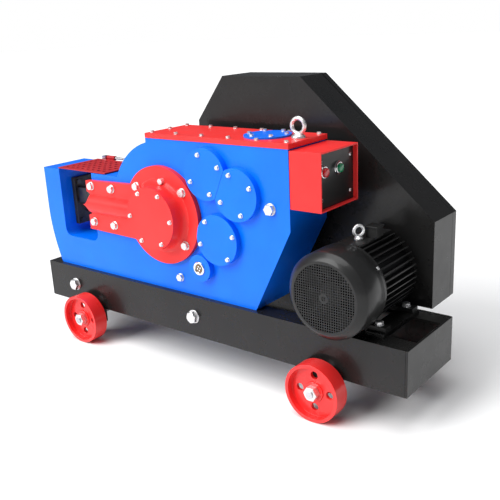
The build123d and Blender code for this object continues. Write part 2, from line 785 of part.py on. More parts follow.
def cap_bolt_places():
    places = []
    for number in range(CAP_BOLTS):
        dx, dz = polar(CAP_BOLT_PCR, 360 * number / CAP_BOLTS)
        places.append((CRANK_X + dx, CRANK_Z + dz))
    return places


def cover_arm(face):
    """Tapered plate over the ram channel with a round ridge along its middle."""
    points = [
        (ARM_LEFT, CRANK_Z - ARM_DOWN), (CRANK_X, CRANK_Z - ARM_DOWN_INNER),
        (CRANK_X, CRANK_Z + ARM_UP_INNER), (ARM_LEFT, CRANK_Z + ARM_UP),
    ]
    ridge_face = CASING_FRONT - BOSS_DEPTH * RIDGE_SHARE
    middle = Pos((ARM_LEFT + CRANK_X) / 2, face + RIDGE_SINK, CRANK_Z)
    ridge = middle * Rot(0, 90, 0) * Cylinder(RIDGE_R, CRANK_X - ARM_LEFT)
    ridge = ridge & block(ARM_LEFT, CRANK_X, ridge_face, CASING_FRONT, CRANK_Z - RIDGE_R, CRANK_Z + RIDGE_R)
    body = slab(outline_face(points), face, CASING_FRONT) + ridge
    for side in (-1, 1):
        body = body - disc(ARM_LEFT, CRANK_Z + side * BITE_Z, BITE_R, ridge_face, CASING_FRONT)
    return body


def crank_cover():
    """Round flange with a boss and the arm that covers the ram channel."""
    face = CASING_FRONT - FLANGE_THICK
    boss_face = CASING_FRONT - BOSS_DEPTH
    body = disc(CRANK_X, CRANK_Z, FLANGE_R, face, CASING_FRONT) + cover_arm(face)
    body = body + cone(CRANK_X, CRANK_Z, BOSS_R, BOSS_R + BOSS_FLARE, boss_face, face)
    body = body - disc(CRANK_X, CRANK_Z, BOSS_CAVITY, boss_face + BOSS_WALL, CASING_FRONT)
    for x, z in crank_bolt_places():
        body = body - disc(x, z, FLANGE_BOLT_R, face, CASING_FRONT)
    for x, z in cap_bolt_places():
        body = body - disc(x, z, SMALL_BOLT_R, boss_face, boss_face + SMALL_BOLT_GRIP)
    x, z = grease_place()
    return body - disc(x, z, GREASE_R, face, face + GREASE_DEPTH)


def grease_place():
    dx, dz = polar(GREASE_PCR, GREASE_ANGLE)
    return CRANK_X + dx, CRANK_Z + dz


def crank_cover_bolts():
    face = CASING_FRONT - FLANGE_THICK
    return [bolt_y(x, z, face, FLANGE_BOLT_R, FLANGE_THICK + PLATE) for x, z in crank_bolt_places()]


def bearing_covers():
    """Three raised round covers, trimmed where they meet so that a narrow gap is left between them."""
    front = CASING_FRONT - COVER_DEPTH
    covers = []
    axes = (AXIS_A, AXIS_B, AXIS_C)
    for index, axis in enumerate(axes):
        body = disc(*axis, COVER_R, front, CASING_FRONT)
        for other_index, other in enumerate(axes):
            if other_index != index:
                body = trim_towards(body, axis, other)
        body = trim_towards(body, axis, AXIS_D, (COVER_R + FLANGE_R) / 2 - COVER_R)
        body = body - disc(*axis, COVER_POCKET_R, front + COVER_FACE, CASING_FRONT)
        covers.append(body)
    for x, z in cover_bolt_places():
        covers = [body - disc(x, z, SMALL_BOLT_R, front, CASING_FRONT) for body in covers]
    return covers


def trim_towards(body, axis, other, shift=0.0):
    """Cuts the cover's side that would run into the round piece about the other axis."""
    span = math.dist(axis, other)
    reach = span / 2 - shift - COVER_GAP
    if reach >= COVER_R:
        return body
    angle = math.degrees(math.atan2(other[1] - axis[1], other[0] - axis[0]))
    tool = block(reach, reach + 2 * COVER_R, 0, COVER_DEPTH, -2 * COVER_R, 2 * COVER_R)
    return body - Pos(axis[0], CASING_FRONT - COVER_DEPTH, axis[1]) * Rot(0, -angle, 0) * tool


def cover_bolt_places():
    places = []
    for axis in (AXIS_A, AXIS_B):
        for degrees in COVER_BOLT_ANGLES:
            dx, dz = polar(COVER_BOLT_PCR, degrees)
            places.append((axis[0] + dx, axis[1] + dz))
    for degrees in LOW_COVER_BOLT_ANGLES:
        dx, dz = polar(LOW_COVER_BOLT_PCR, degrees)
        places.append((AXIS_C[0] + dx, AXIS_C[1] + dz))
    return places


def cover_bolts():
    front = CASING_FRONT - COVER_DEPTH
    grip = COVER_DEPTH + SMALL_BOLT_GRIP
    bolts = [bolt_y(x, z, front, SMALL_BOLT_R, grip) for x, z in cover_bolt_places()]
    boss_face = CASING_FRONT - BOSS_DEPTH
    return bolts + [bolt_y(x, z, boss_face, SMALL_BOLT_R, SMALL_BOLT_GRIP) for x, z in cap_bolt_places()]


def plug_places():
    """Level plug, drain plug: x, z, radius."""
    return [
        (CASING_RIGHT - PLUG_RIGHT, TOP_Z + PLUG_HEIGHT, PLUG_R),
        (DRAIN_X, TOP_Z + DRAIN_HEIGHT, DRAIN_R),
    ]


def oil_plugs():
    plugs = [bolt_y(x, z, CASING_FRONT, radius, PLATE) for x, z, radius in plug_places()]
    x, z = grease_place()
    face = CASING_FRONT - FLANGE_THICK
    stem = disc(x, z, GREASE_R, face, face + GREASE_DEPTH)
    return plugs + [stem + disc(x, z, GREASE_R + GREASE_LIP, face - 2 * GREASE_DEPTH, face)]


def sight_glass():
    face = CASING_FRONT - COVER_DEPTH
    z = TOP_Z + SIGHT_HEIGHT
    ring = disc(SIGHT_X, z, SIGHT_R + SIGHT_RING, face - SIGHT_RING, face)
    return disc(SIGHT_X, z, SIGHT_R, face, INSIDE_FRONT) + ring


# ---- gear train ----
def tooth_points(module, teeth, degrees):
    """One gear tooth centred on the given angle: involute flanks as short chords, root to root."""
    pitch_r = module * teeth / 2
    base_r = pitch_r * math.cos(math.radians(PRESSURE))
    root_r = pitch_r - module * DEDENDUM
    tip_r = pitch_r + module * ADDENDUM
    half_pitch_angle = math.pi / (2 * teeth) - BACKLASH / (2 * pitch_r)
    rolled = math.tan(math.radians(PRESSURE)) - math.radians(PRESSURE)
    start_r = max(base_r, root_r)
    flank = []
    for step in range(GEAR_STEPS + 1):
        radius = start_r + (tip_r - start_r) * step / GEAR_STEPS
        pressure = math.acos(min(1.0, base_r / radius))
        half = half_pitch_angle + rolled - (math.tan(pressure) - pressure)
        flank.append((radius, half))
    root_half = flank[0][1]
    if root_r < start_r:
        flank.insert(0, (root_r, root_half))
    middle = math.radians(degrees)
    rising = [(radius, middle - half) for radius, half in flank]
    falling = [(radius, middle + half) for radius, half in reversed(flank)]
    return rising + falling


def gear(axis, module, teeth, phase, y0, y1):
    points = []
    for number in range(teeth):
        for radius, angle in tooth_points(module, teeth, phase + 360 * number / teeth):
            points.append((axis[0] + radius * math.cos(angle), axis[1] + radius * math.sin(angle)))
    return slab(outline_face(points), y0, y1)


def pinion(axis, wheel, degrees, y_span):
    """Pinion cut on a shaft, with a tooth pointing along the given direction, wider than its wheel."""
    y0, y1 = y_span[0] - PINION_EXTRA, y_span[1] + PINION_EXTRA
    return gear(axis, wheel["module"], PINION_TEETH, degrees, y0, y1)


def meshing_wheel(axis, wheel, degrees, y_span):
    """Gear wheel with a tooth gap along the direction of its pinion."""
    phase = degrees + 180 / wheel["teeth"]
    return gear(axis, wheel["module"], wheel["teeth"], phase, y_span[0], y_span[1])


def lightened(body, axis, wheel, bore_r, y_span):
    """Recesses both faces of a large gear and drills its web."""
    module = wheel["module"]
    rim_r = module * wheel["teeth"] / 2 - GEAR_RIM * module
    hub_r = bore_r * GEAR_HUB
    depth = (y_span[1] - y_span[0]) * GEAR_RECESS
    ring_front = disc(*axis, rim_r, y_span[0], y_span[0] + depth)
    ring_front = ring_front - disc(*axis, hub_r, y_span[0], y_span[0] + depth)
    ring_back = disc(*axis, rim_r, y_span[1] - depth, y_span[1])
    ring_back = ring_back - disc(*axis, hub_r, y_span[1] - depth, y_span[1])
    body = body - ring_front - ring_back - disc(*axis, bore_r, y_span[0], y_span[1])
    hole_r = (rim_r - hub_r) * GEAR_HOLE_SCALE
    for number in range(GEAR_HOLES):
        dx, dz = polar((rim_r + hub_r) / 2, 360 * number / GEAR_HOLES)
        body = body - disc(axis[0] + dx, axis[1] + dz, hole_r, y_span[0], y_span[1])
    return body


def crankshaft():
    """Shaft with its eccentric, carried in two bushes."""
    front = CASING_FRONT - BOSS_DEPTH + CRANK_SHAFT_INSET
    body = disc(*AXIS_D, CRANK_R, front, CASING_BACK - SHAFT_REAR_GAP)
    rod_back = ROD_Y + ROD_THICK / 2
    collar = disc(*AXIS_D, CRANK_R + CRANK_COLLAR, rod_back + CRANK_COLLAR, CRANK_GEAR_Y[0])
    side_front = ROD_Y - ROD_THICK / 2 - ECCENTRIC_SIDE
    eccentric = disc(PIN_X, CRANK_Z, THROW + CRANK_R + ECCENTRIC_LIP, side_front, rod_back + ECCENTRIC_SIDE)
    return body + collar + eccentric


def crank_gear():
    wheel = meshing_wheel(AXIS_D, CRANK_GEAR, ANGLE_C, CRANK_GEAR_Y)
    return lightened(wheel, AXIS_D, CRANK_GEAR, CRANK_R, CRANK_GEAR_Y)


def shaft_c():
    body = disc(*AXIS_C, SHAFT_C_R, CASING_FRONT + SHAFT_END_GAP, CASING_BACK - SHAFT_REAR_GAP)
    return body + pinion(AXIS_C, CRANK_GEAR, ANGLE_C + 180, CRANK_GEAR_Y)


def second_gear():
    wheel = meshing_wheel(AXIS_C, SECOND_GEAR, ANGLE_B, SECOND_GEAR_Y)
    return lightened(wheel, AXIS_C, SECOND_GEAR, SHAFT_C_R, SECOND_GEAR_Y)


def shaft_b():
    body = disc(*AXIS_B, SHAFT_B_R, CASING_FRONT + SHAFT_END_GAP, CASING_BACK - SHAFT_REAR_GAP)
    return body + pinion(AXIS_B, SECOND_GEAR, ANGLE_B + 180, SECOND_GEAR_Y)


def first_gear():
    wheel = meshing_wheel(AXIS_B, FIRST_GEAR, ANGLE_A, FIRST_GEAR_Y)
    return lightened(wheel, AXIS_B, FIRST_GEAR, SHAFT_B_R, FIRST_GEAR_Y)


def shaft_a():
    end = PULLEY_Y + BELT_BAND / 2 + SHAFT_REAR_GAP
    body = disc(*AXIS_A, SHAFT_A_R, CASING_FRONT + SHAFT_END_GAP, end)
    return body + pinion(AXIS_A, FIRST_GEAR, ANGLE_A + 180, FIRST_GEAR_Y)


def bearing(axis, inner_r, outer_r, y0, y1):
    return disc(*axis, outer_r, y0, y1) - disc(*axis, inner_r + RUN_GAP, y0, y1)


def shaft_bearings():
    rings = []
    for axis, inner_r, outer_r in shaft_places():
        rings.append(bearing(axis, inner_r, outer_r, CASING_FRONT, INSIDE_FRONT))
        rings.append(bearing(axis, inner_r, outer_r, INSIDE_BACK, CASING_BACK))
    return rings


def crank_bushes():
    front = bearing(AXIS_D, CRANK_R, BOSS_CAVITY, CASING_FRONT - BUSH_FRONT, INSIDE_FRONT)
    return [front, bearing(AXIS_D, CRANK_R, BOSS_CAVITY, INSIDE_BACK, CASING_BACK)]


# ---- connecting rod, ram and blades ----
def connecting_rod():
    """Rod with a pressed-in wrist pin. Its big end runs on the eccentric."""
    y0, y1 = ROD_Y - ROD_THICK / 2, ROD_Y + ROD_THICK / 2
    bore = THROW + CRANK_R + ECCENTRIC_LIP + RUN_GAP
    body = disc(PIN_X, CRANK_Z, bore + BIG_END_WALL, y0, y1) + disc(WRIST_X, CRANK_Z, EYE_R, y0, y1)
    waist = EYE_R * ROD_WAIST
    body = body + block(WRIST_X, PIN_X, y0, y1, CRANK_Z - waist, CRANK_Z + waist)
    body = body - disc(PIN_X, CRANK_Z, bore, y0, y1)
    return body - disc(WRIST_X, CRANK_Z, WRIST_R, y0, y1)


def wrist_pin():
    return disc(WRIST_X, CRANK_Z, WRIST_R, RAM_FRONT + PIN_INSET, RAM_BACK - PIN_INSET)


def ram():
    """Forked slide. The wrist pin has a window as long as its own stroke plus the ram's."""
    fork_left = WRIST_X - STROKE - EYE_R - FORK_WALL
    right = WRIST_X + STROKE + WRIST_R + RAM_TAIL
    low, high = CRANK_Z - RAM_HALF, CRANK_Z + RAM_HALF
    body = block(RAM_NOSE, right, RAM_FRONT, RAM_BACK, low, high)
    half = ROD_THICK / 2 + FORK_GAP
    body = body - block(fork_left, right, ROD_Y - half, ROD_Y + half, low, high)
    reach = WRIST_R + PIN_PLAY
    window = block(
        WRIST_X - STROKE - reach, WRIST_X + STROKE + reach, RAM_FRONT, RAM_BACK,
        CRANK_Z - THROW - reach, CRANK_Z + THROW + reach,
    )
    return body - window


def ram_guides():
    guides = []
    for side in (-1, 1):
        inner = CRANK_Z + side * (RAM_HALF + RUN_GAP)
        outer = inner + side * GUIDE_THICK
        right = WRIST_X + GUIDE_END
        guides.append(block(MOUTH_RIGHT + RIM, right, INSIDE_FRONT, RAM_BACK + PIN_INSET, inner, outer))
    return guides


def moving_blade():
    """Hardened block on the ram's nose, on the front side of the shear plane, with two socket screws."""
    tip = RAM_NOSE - BLADE_LENGTH
    low, high = CRANK_Z - BLADE_HALF, CRANK_Z + BLADE_HALF
    body = block(tip, RAM_NOSE, RAM_FRONT, ROD_Y - BLADE_GAP / 2, low, high)
    for side in (-1, 1):
        z = CRANK_Z + side * BLADE_SCREW_Z
        body = body - peg((RAM_FRONT + ROD_Y) / 2, z, BLADE_SCREW_R, tip, tip + BLADE_SCREW_DEPTH)
    return body


def fixed_blade():
    """Blade block on the post side, on the back side of the shear plane."""
    edge = RAM_NOSE - BLADE_LENGTH - BLADE_OPENING
    y0 = ROD_Y + BLADE_GAP / 2
    low, high = CRANK_Z - FIXED_BLADE_HALF, CRANK_Z + FIXED_BLADE_HALF
    return block(blade_seat_face(), edge, y0, y0 + FIXED_BLADE_THICK, low, high)


def blade_seat_face():
    return MOUTH_LEFT + SEAT_THICK


def blade_seat():
    """Square flange on the post's inner wall with a large round hole, which backs the fixed blade."""
    low, high = CRANK_Z - SEAT_DOWN, CRANK_Z + SEAT_UP
    body = block(MOUTH_LEFT, blade_seat_face(), *SEAT_Y, low, high)
    middle_y = sum(SEAT_Y) / 2
    return body - peg(middle_y, (low + high) / 2, SEAT_HOLE_R, MOUTH_LEFT + SEAT_BACK, blade_seat_face())


def blade_seat_bolts():
    bolts = []
    face = blade_seat_face()
    for y in (SEAT_Y[0] + SEAT_BOLT_INSET, SEAT_Y[1] - SEAT_BOLT_INSET):
        for z in (CRANK_Z - SEAT_DOWN + SEAT_BOLT_INSET, CRANK_Z + SEAT_UP - SEAT_BOLT_INSET):
            bolts.append(peg(y, z, SEAT_BOLT_R, face, face + SEAT_BOLT_HEAD))
    return bolts


# ---- hand guard over the mouth ----
def hinge_z():
    return GUARD_Z + GUARD_SHEET + HINGE_R


def hinge_y():
    return GUARD_BACK - HINGE_R


def guard_slots(front, back):
    """Rows of oblong holes all over the sheet."""
    slots = []
    step_x = (GUARD_RIGHT - GUARD_LEFT) / (GUARD_COLUMNS + 1)
    step_y = (back - front) / (GUARD_ROWS + 1)
    for column in range(GUARD_COLUMNS):
        for row in range(GUARD_ROWS):
            place = Pos(GUARD_LEFT + step_x * (column + 1), front + step_y * (row + 1), GUARD_Z)
            slots.append(place * extrude(SlotOverall(SLOT_LENGTH, SLOT_WIDTH), GUARD_SHEET))
    return slots


def hand_guard():
    """Perforated sheet with knuckles at its rear edge."""
    front = CASING_FRONT + GUARD_OVERLAP
    back = CASING_BACK - GUARD_BACK_GAP
    top = GUARD_Z + GUARD_SHEET
    body = block(GUARD_LEFT, GUARD_RIGHT, front, back, GUARD_Z, top)
    body = cut_all(body, guard_slots(front, back))
    for x0, x1 in knuckle_spans():
        knuckle = peg(hinge_y(), hinge_z(), HINGE_R + KNUCKLE_WALL, x0, x1)
        strap = block(x0, x1, back - STRAP_LAP, hinge_y(), GUARD_Z, top)
        body = body + knuckle + strap - peg(hinge_y(), hinge_z(), HINGE_R + RUN_GAP, x0, x1)
    return body


def knuckle_spans():
    sixth = (GUARD_RIGHT - GUARD_LEFT) / 6
    return [(GUARD_LEFT + sixth, GUARD_LEFT + 2 * sixth), (GUARD_RIGHT - 2 * sixth, GUARD_RIGHT - sixth)]


def guard_hinge():
    """Hinge pin and the lugs that carry it, standing on the rear plate."""
    left, right = GUARD_LEFT + HINGE_END, GUARD_RIGHT - HINGE_END
    body = peg(hinge_y(), hinge_z(), HINGE_R, left, right)
    spans = knuckle_spans()
    back = hinge_y() + HINGE_R + LUG_WALL
    top = hinge_z() + HINGE_R + LUG_WALL
    for x0, x1 in ((left, spans[0][0] - SIDE_PLAY), (spans[1][1] + SIDE_PLAY, right)):
        body = body + block(x0, x1, CASING_BACK, back, POST_TOP - LUG_DROP, top)
    return body


# ---- control box ----
def box_low():
    return CASING_TOP - BOX_DROP - BOX_HEIGHT


def box_mid():
    return box_low() + BOX_HEIGHT / 2


def panel_x():
    return CASING_RIGHT + BOX_LENGTH - PANEL_RECESS


def control_box():
    """Sheet-metal box on the end of the casing, open towards +X."""
    right = CASING_RIGHT + BOX_LENGTH
    low, high = box_low(), box_low() + BOX_HEIGHT
    body = block(CASING_RIGHT, right, BOX_FRONT, BOX_BACK, low, high)
    inner = block(
        CASING_RIGHT + BOX_SHEET, right, BOX_FRONT + BOX_SHEET, BOX_BACK - BOX_SHEET,
        low + BOX_SHEET, high - BOX_SHEET,
    )
    body = body - inner
    return body - post(gland_x(), CASING_MID, GLAND_R, low, low + BOX_SHEET)


def gland_x():
    return CASING_RIGHT + GLAND_INSET


def box_centre_y():
    return (BOX_FRONT + BOX_BACK) / 2


def panel_screw_places():
    return [
        (box_centre_y() + sy * PANEL_SCREW_Y, box_mid() + sz * PANEL_SCREW_Z)
        for sy in (-1, 1) for sz in (-1, 1)
    ]


def button_z():
    return box_mid() + BUTTON_HEIGHT


def control_panel():
    face = panel_x()
    body = block(
        face - PANEL_THICK, face, BOX_FRONT + BOX_SHEET, BOX_BACK - BOX_SHEET,
        box_low() + BOX_SHEET, box_low() + BOX_HEIGHT - BOX_SHEET,
    )
    for y in BUTTON_Y:
        body = body - peg(y, button_z(), BUTTON_R + BEZEL_NECK, face - PANEL_THICK, face)
    for y, z in panel_screw_places():
        body = body - peg(y, z, PANEL_SCREW_R, face - PANEL_THICK, face)
    return body


def panel_screws():
    face = panel_x()
    screws = []
    for y, z in panel_screw_places():
        shank = peg(y, z, PANEL_SCREW_R, face - PANEL_THICK, face)
        screws.append(shank + peg(y, z, PANEL_HEAD_R, face, face + PANEL_HEAD))
    return screws


def button_bezels():
    """Rims around the two push buttons, with the contact blocks behind the panel."""
    face = panel_x()
    rims = []
    for y in BUTTON_Y:
        rim = peg(y, button_z(), BUTTON_R + BEZEL_LIP, face, face + BEZEL_HEIGHT)
        neck = peg(y, button_z(), BUTTON_R + BEZEL_NECK, face - PANEL_THICK, face)
        contacts = peg(y, button_z(), BUTTON_R + BEZEL_LIP, face - CONTACT_DEPTH, face - PANEL_THICK)
        bore = peg(y, button_z(), BUTTON_R + BEZEL_PLAY, face - CONTACT_BORE, face + BEZEL_HEIGHT)
        rims.append(rim + neck + contacts - bore)
    return rims


def button(y):
    face = panel_x()
    tip = face + BEZEL_HEIGHT + BUTTON_TRAVEL + BUTTON_PROUD
    return peg(y, button_z(), BUTTON_R, face - BUTTON_REAR, tip)


def cable_gland():
    x = gland_x()
    low = box_low()
    inner = low + BOX_SHEET + GLAND_INNER
    prism = extrude(RegularPolygon(GLAND_R + GLAND_NUT_LIP, 6), GLAND_NUT)
    nut = Pos(x, CASING_MID, low - GLAND_NUT) * prism
    body = nut + post(x, CASING_MID, GLAND_R, low, inner)
    body = body + post(x, CASING_MID, GLAND_R + GLAND_TAIL_LIP, low - GLAND_TAIL, low - GLAND_NUT)
    return body - post(x, CASING_MID, GLAND_HOLE_R, low - GLAND_TAIL, inner)


# ---- motor ----
def foot_places():
    """Side in X, middle in X and middle in Y of the four motor feet."""
    places = []
    for side_x in (-1, 1):
        for side_y in (-1, 1):
            x = MOTOR_X + side_x * MOTOR_FEET_X / 2
            places.append((side_x, x, MOTOR_FEET_MID + side_y * MOTOR_FEET_Y / 2))
    return places


def in_span(degrees, span):
    return span[0] < degrees < span[1]


def motor_fins():
    """Cooling fins all round, apart from the pad on top and the feet below."""
    fins = []
    height = FRAME_FIN_R - FRAME_ROOT_R + FIN_SINK
    for number in range(FIN_COUNT):
        degrees = 360 * (number + 0.5) / FIN_COUNT
        if in_span(degrees, FOOT_FIN_SPAN) or in_span(degrees, PAD_FIN_SPAN):
            continue
        dx, dz = polar(FRAME_FIN_R - height / 2, degrees)
        place = Pos(MOTOR_X + dx, (FRAME_FRONT + FRAME_BACK) / 2, MOTOR_Z + dz) * Rot(0, -degrees, 0)
        fins.append(place * Box(height, FRAME_BACK - FRAME_FRONT, FIN_THICK))
    return fins


def motor_frame():
    """Finned stator frame with cast feet."""
    low = TOP_Z + RAIL_THICK
    top = MOTOR_Z + FRAME_FIN_R
    body = disc(MOTOR_X, MOTOR_Z, FRAME_ROOT_R, FRAME_FRONT, FRAME_BACK)
    body = merge([body] + motor_fins())
    body = body + block(MOTOR_X - PAD_HALF, MOTOR_X + PAD_HALF, FRAME_FRONT, FRAME_BACK, MOTOR_Z, top)
    for side, x, y in foot_places():
        inner = x - side * FOOT_INNER
        foot = block(inner, x + side * FOOT_HALF, y - FOOT_HALF_Y, y + FOOT_HALF_Y, low, low + FOOT_THICK)
        rib_end = x - side * FOOT_RIB_INNER
        rib = block(inner, rib_end, y - FOOT_RIB_HALF, y + FOOT_RIB_HALF, low, low + FOOT_RIB_HEIGHT)
        body = body + foot + rib
    for _, x, y in foot_places():
        body = body - post(x, y, MOTOR_FOOT_HOLE_R, low, low + FOOT_THICK)
    body = body - post(MOTOR_X, MOTOR_EYE_Y, MOTOR_EYE_R, top - MOTOR_EYE_DEPTH, top)
    return body - disc(MOTOR_X, MOTOR_Z, FRAME_ROOT_R - FRAME_WALL, FRAME_FRONT, FRAME_BACK)


def end_shields():
    """Two end shields that carry the rotor's bearings."""
    y0, y1 = FRAME_FRONT, FRAME_BACK
    step, neck_end = SHIELD_STEP, MOTOR_SHOULDER - SHIELD_GAP
    front = disc(MOTOR_X, MOTOR_Z, FRAME_ROOT_R, y0 - step, y0)
    front = front + disc(MOTOR_X, MOTOR_Z, SHIELD_NECK_R, y0 - 2 * step, y0 - step)
    back = cone(MOTOR_X, MOTOR_Z, FRAME_ROOT_R, FRAME_ROOT_R - SHIELD_TAPER, y1, y1 + SHIELD_TAPER)
    back = back + disc(MOTOR_X, MOTOR_Z, SHIELD_NECK_R, y1 + SHIELD_TAPER, neck_end)
    bore = MOTOR_SHAFT_R + RUN_GAP
    return [
        front - disc(MOTOR_X, MOTOR_Z, bore, y0 - 2 * step, y0),
        back - disc(MOTOR_X, MOTOR_Z, bore, y1, neck_end),
    ]


def cowl_slots():
    """Broken rings that let the air in through the face of the fan cowl."""
    rings = []
    face, back = MOTOR_FRONT, MOTOR_FRONT + COWL_WALL
    spokes = [
        Pos(MOTOR_X, face, MOTOR_Z) * Rot(0, degrees, 0) * Box(2 * COWL_R, 2 * COWL_CHAMFER, SPOKE_WIDTH)
        for degrees in (0, 60, 120)
    ]
    for radius in (COWL_R - inset for inset in SLOT_INSETS):
        ring = disc(MOTOR_X, MOTOR_Z, radius + SLOT_HALF, face, back)
        ring = ring - disc(MOTOR_X, MOTOR_Z, radius - SLOT_HALF, face, back)
        rings.append(cut_all(ring, spokes))
    return rings


def fan_cowl():
    """Pressed cowl with a chamfered front edge, a closed band at the back and air slots in its face."""
    face = MOTOR_FRONT
    edge = face + COWL_CHAMFER
    small, inner_r = COWL_R - COWL_TAPER, COWL_R - COWL_WALL
    body = cone(MOTOR_X, MOTOR_Z, small, COWL_R, face, edge)
    body = body + disc(MOTOR_X, MOTOR_Z, COWL_R, edge, COWL_BACK)
    body = body - disc(MOTOR_X, MOTOR_Z, small - COWL_WALL, face + COWL_WALL, edge)
    body = body - disc(MOTOR_X, MOTOR_Z, inner_r, edge, COWL_BACK)
    band = disc(MOTOR_X, MOTOR_Z, COWL_R, COWL_BACK, COWL_BACK + COWL_BAND)
    band = band - disc(MOTOR_X, MOTOR_Z, FRAME_ROOT_R, COWL_BACK, COWL_BACK + COWL_BAND)
    return cut_all(body + band, cowl_slots())


def terminal_box():
    """Small terminal box on the motor's pad, with a lid that overhangs all round."""
    low = MOTOR_Z + FRAME_FIN_R
    high = low + TERMINAL_HEIGHT
    x0, x1 = MOTOR_X + TERMINAL_X[0], MOTOR_X + TERMINAL_X[1]
    y0, y1 = TERMINAL_Y
    lip = TERMINAL_LIP
    lid_plate = block(x0 - lip, x1 + lip, y0 - lip, y1 + lip, high, high + TERMINAL_LID)
    return block(x0, x1, y0, y1, low, high) + lid_plate


def motor_bolts():
    face = TOP_Z + RAIL_THICK + FOOT_THICK
    grip = FOOT_THICK + RAIL_THICK
    return [bolt_z(x, y, face, MOTOR_FOOT_HOLE_R, grip) for _, x, y in foot_places()]


def motor_rotor():
    body = disc(MOTOR_X, MOTOR_Z, MOTOR_SHAFT_R, COWL_BACK - ROTOR_FRONT, MOTOR_SHAFT_END)
    core = (FRAME_FRONT + ROTOR_END, FRAME_BACK - ROTOR_END)
    return body + disc(MOTOR_X, MOTOR_Z, FRAME_ROOT_R - ROTOR_AIR, *core)


def motor_fan():
    """Back disc with straight blades around a hub."""
    y0, y1 = FAN_SPAN
    reach = COWL_R - FAN_GAP
    length = reach - FAN_HUB_R
    body = disc(MOTOR_X, MOTOR_Z, FAN_HUB_R, y0, y1) + disc(MOTOR_X, MOTOR_Z, reach, y1 - FAN_DISC, y1)
    for number in range(FAN_BLADES):
        degrees = 360 * number / FAN_BLADES
        dx, dz = polar(FAN_HUB_R + length / 2 - FAN_DISC, degrees)
        place = Pos(MOTOR_X + dx, (y0 + y1) / 2, MOTOR_Z + dz) * Rot(0, -degrees, 0)
        body = body + place * Box(length, y1 - y0, FAN_BLADE)
    return body - disc(MOTOR_X, MOTOR_Z, MOTOR_SHAFT_R, y0, y1)


# ---- belt drive ----
def groove_places():
    first = PULLEY_Y - (BELT_COUNT - 1) * BELT_PITCH / 2
    return [first + BELT_PITCH * number for number in range(BELT_COUNT)]


def grooved(body, x, z, radius):
    """Cuts the belt grooves, a little deeper and wider than the belts."""
    floor_r = radius - BELT_DEPTH - GROOVE_DEEP
    half = BELT_TOP / 2 + GROOVE_SIDE
    for y in groove_places():
        ring = disc(x, z, radius + GROOVE_SIDE, y - half, y + half)
        ring = ring - disc(x, z, floor_r, y - half, y + half)
        body = body - ring
    return body


def flywheel():
    """Pulley with a heavy rim and five arms, which also stores the cutting energy."""
    y0, y1 = PULLEY_Y - BELT_BAND / 2, PULLEY_Y + BELT_BAND / 2
    body = disc(*AXIS_A, FLYWHEEL_R, y0, y1) - disc(*AXIS_A, FLYWHEEL_R - FLYWHEEL_RIM, y0, y1)
    body = body + disc(*AXIS_A, FLYWHEEL_HUB_R, y0, y1)
    for number in range(FLYWHEEL_ARMS):
        degrees = 90 + 360 * number / FLYWHEEL_ARMS
        dx, dz = polar(FLYWHEEL_R / 2, degrees)
        arm = Box(FLYWHEEL_R - 2 * ARM_ENDS, ARM_THICK, ARM_WIDTH)
        body = body + Pos(AXIS_A[0] + dx, PULLEY_Y, AXIS_A[1] + dz) * Rot(0, -degrees, 0) * arm
    body = grooved(body, *AXIS_A, FLYWHEEL_R)
    return body - disc(*AXIS_A, SHAFT_A_R, y0, y1)


def motor_pulley():
    y0, y1 = MOTOR_SHOULDER + GROOVE_SIDE, MOTOR_SHAFT_END
    body = disc(MOTOR_X, MOTOR_Z, MOTOR_PULLEY_R, y0, y1)
    body = grooved(body, MOTOR_X, MOTOR_Z, MOTOR_PULLEY_R)
    return body - disc(MOTOR_X, MOTOR_Z, MOTOR_SHAFT_R, y0, y1)


def on_circle(centre, radius, degrees):
    dx, dz = polar(radius, degrees)
    return (centre[0] + dx, 0, centre[1] + dz)


def loop_face(big_r, small_r):
    """Outline of a belt around both pulleys: two arcs joined by the outer tangents."""
    big, small = AXIS_A, (MOTOR_X, MOTOR_Z)
    line = math.degrees(math.atan2(small[1] - big[1], small[0] - big[0]))
    lean = math.degrees(math.acos((big_r - small_r) / math.dist(big, small)))
    big_points = [on_circle(big, big_r, line + turn) for turn in (lean, 180, -lean)]
    small_points = [on_circle(small, small_r, line + turn) for turn in (-lean, 0, lean)]
    edges = [
        ThreePointArc(*big_points), Line(big_points[2], small_points[0]),
        ThreePointArc(*small_points), Line(small_points[2], big_points[0]),
    ]
    return make_face(edges)


def drive_belts():
    big, small = FLYWHEEL_R + BELT_LIFT, MOTOR_PULLEY_R + BELT_LIFT
    depth = BELT_DEPTH + BELT_CLEAR
    belts = []
    for y in groove_places():
        half = BELT_TOP / 2
        outer = slab(loop_face(big, small), y - half, y + half)
        inner = slab(loop_face(big - depth, small - depth), y - half, y + half)
        belts.append(outer - inner)
    return belts


def guard_points(grow=0.0):
    """Outline of the belt guard around the flywheel and the motor pulley."""
    left = AXIS_A[0] - GUARD_SIDE + grow
    right = MOTOR_X + GUARD_END - grow
    top = CASING_TOP + GUARD_RISE - grow
    low = TOP_Z + GUARD_LIFT + grow
    return [
        (left, low + GUARD_LOW_CORNER[1]), (left, top - GUARD_TOP_CORNER[1]),
        (left + GUARD_TOP_CORNER[0], top), (left + GUARD_TOP_LENGTH, top),
        (right, top - GUARD_SLOPE_DROP), (right, low), (left + GUARD_LOW_CORNER[0], low),
    ]


def belt_guard():
    """Inner half: back sheet with the side walls, open towards the cover."""
    seam = GUARD_REAR - GUARD_SEAM
    outer = slab(outline_face(guard_points()), GUARD_FRONT, seam)
    inner = slab(outline_face(guard_points(GUARD_WALL)), GUARD_FRONT + GUARD_WALL, seam)
    body = outer - inner
    sheet_back = GUARD_FRONT + GUARD_WALL
    body = body - disc(*AXIS_A, SHAFT_A_R + GUARD_BORE_GAP, GUARD_FRONT, sheet_back)
    return body - disc(MOTOR_X, MOTOR_Z, GUARD_MOTOR_R, GUARD_FRONT, sheet_back)


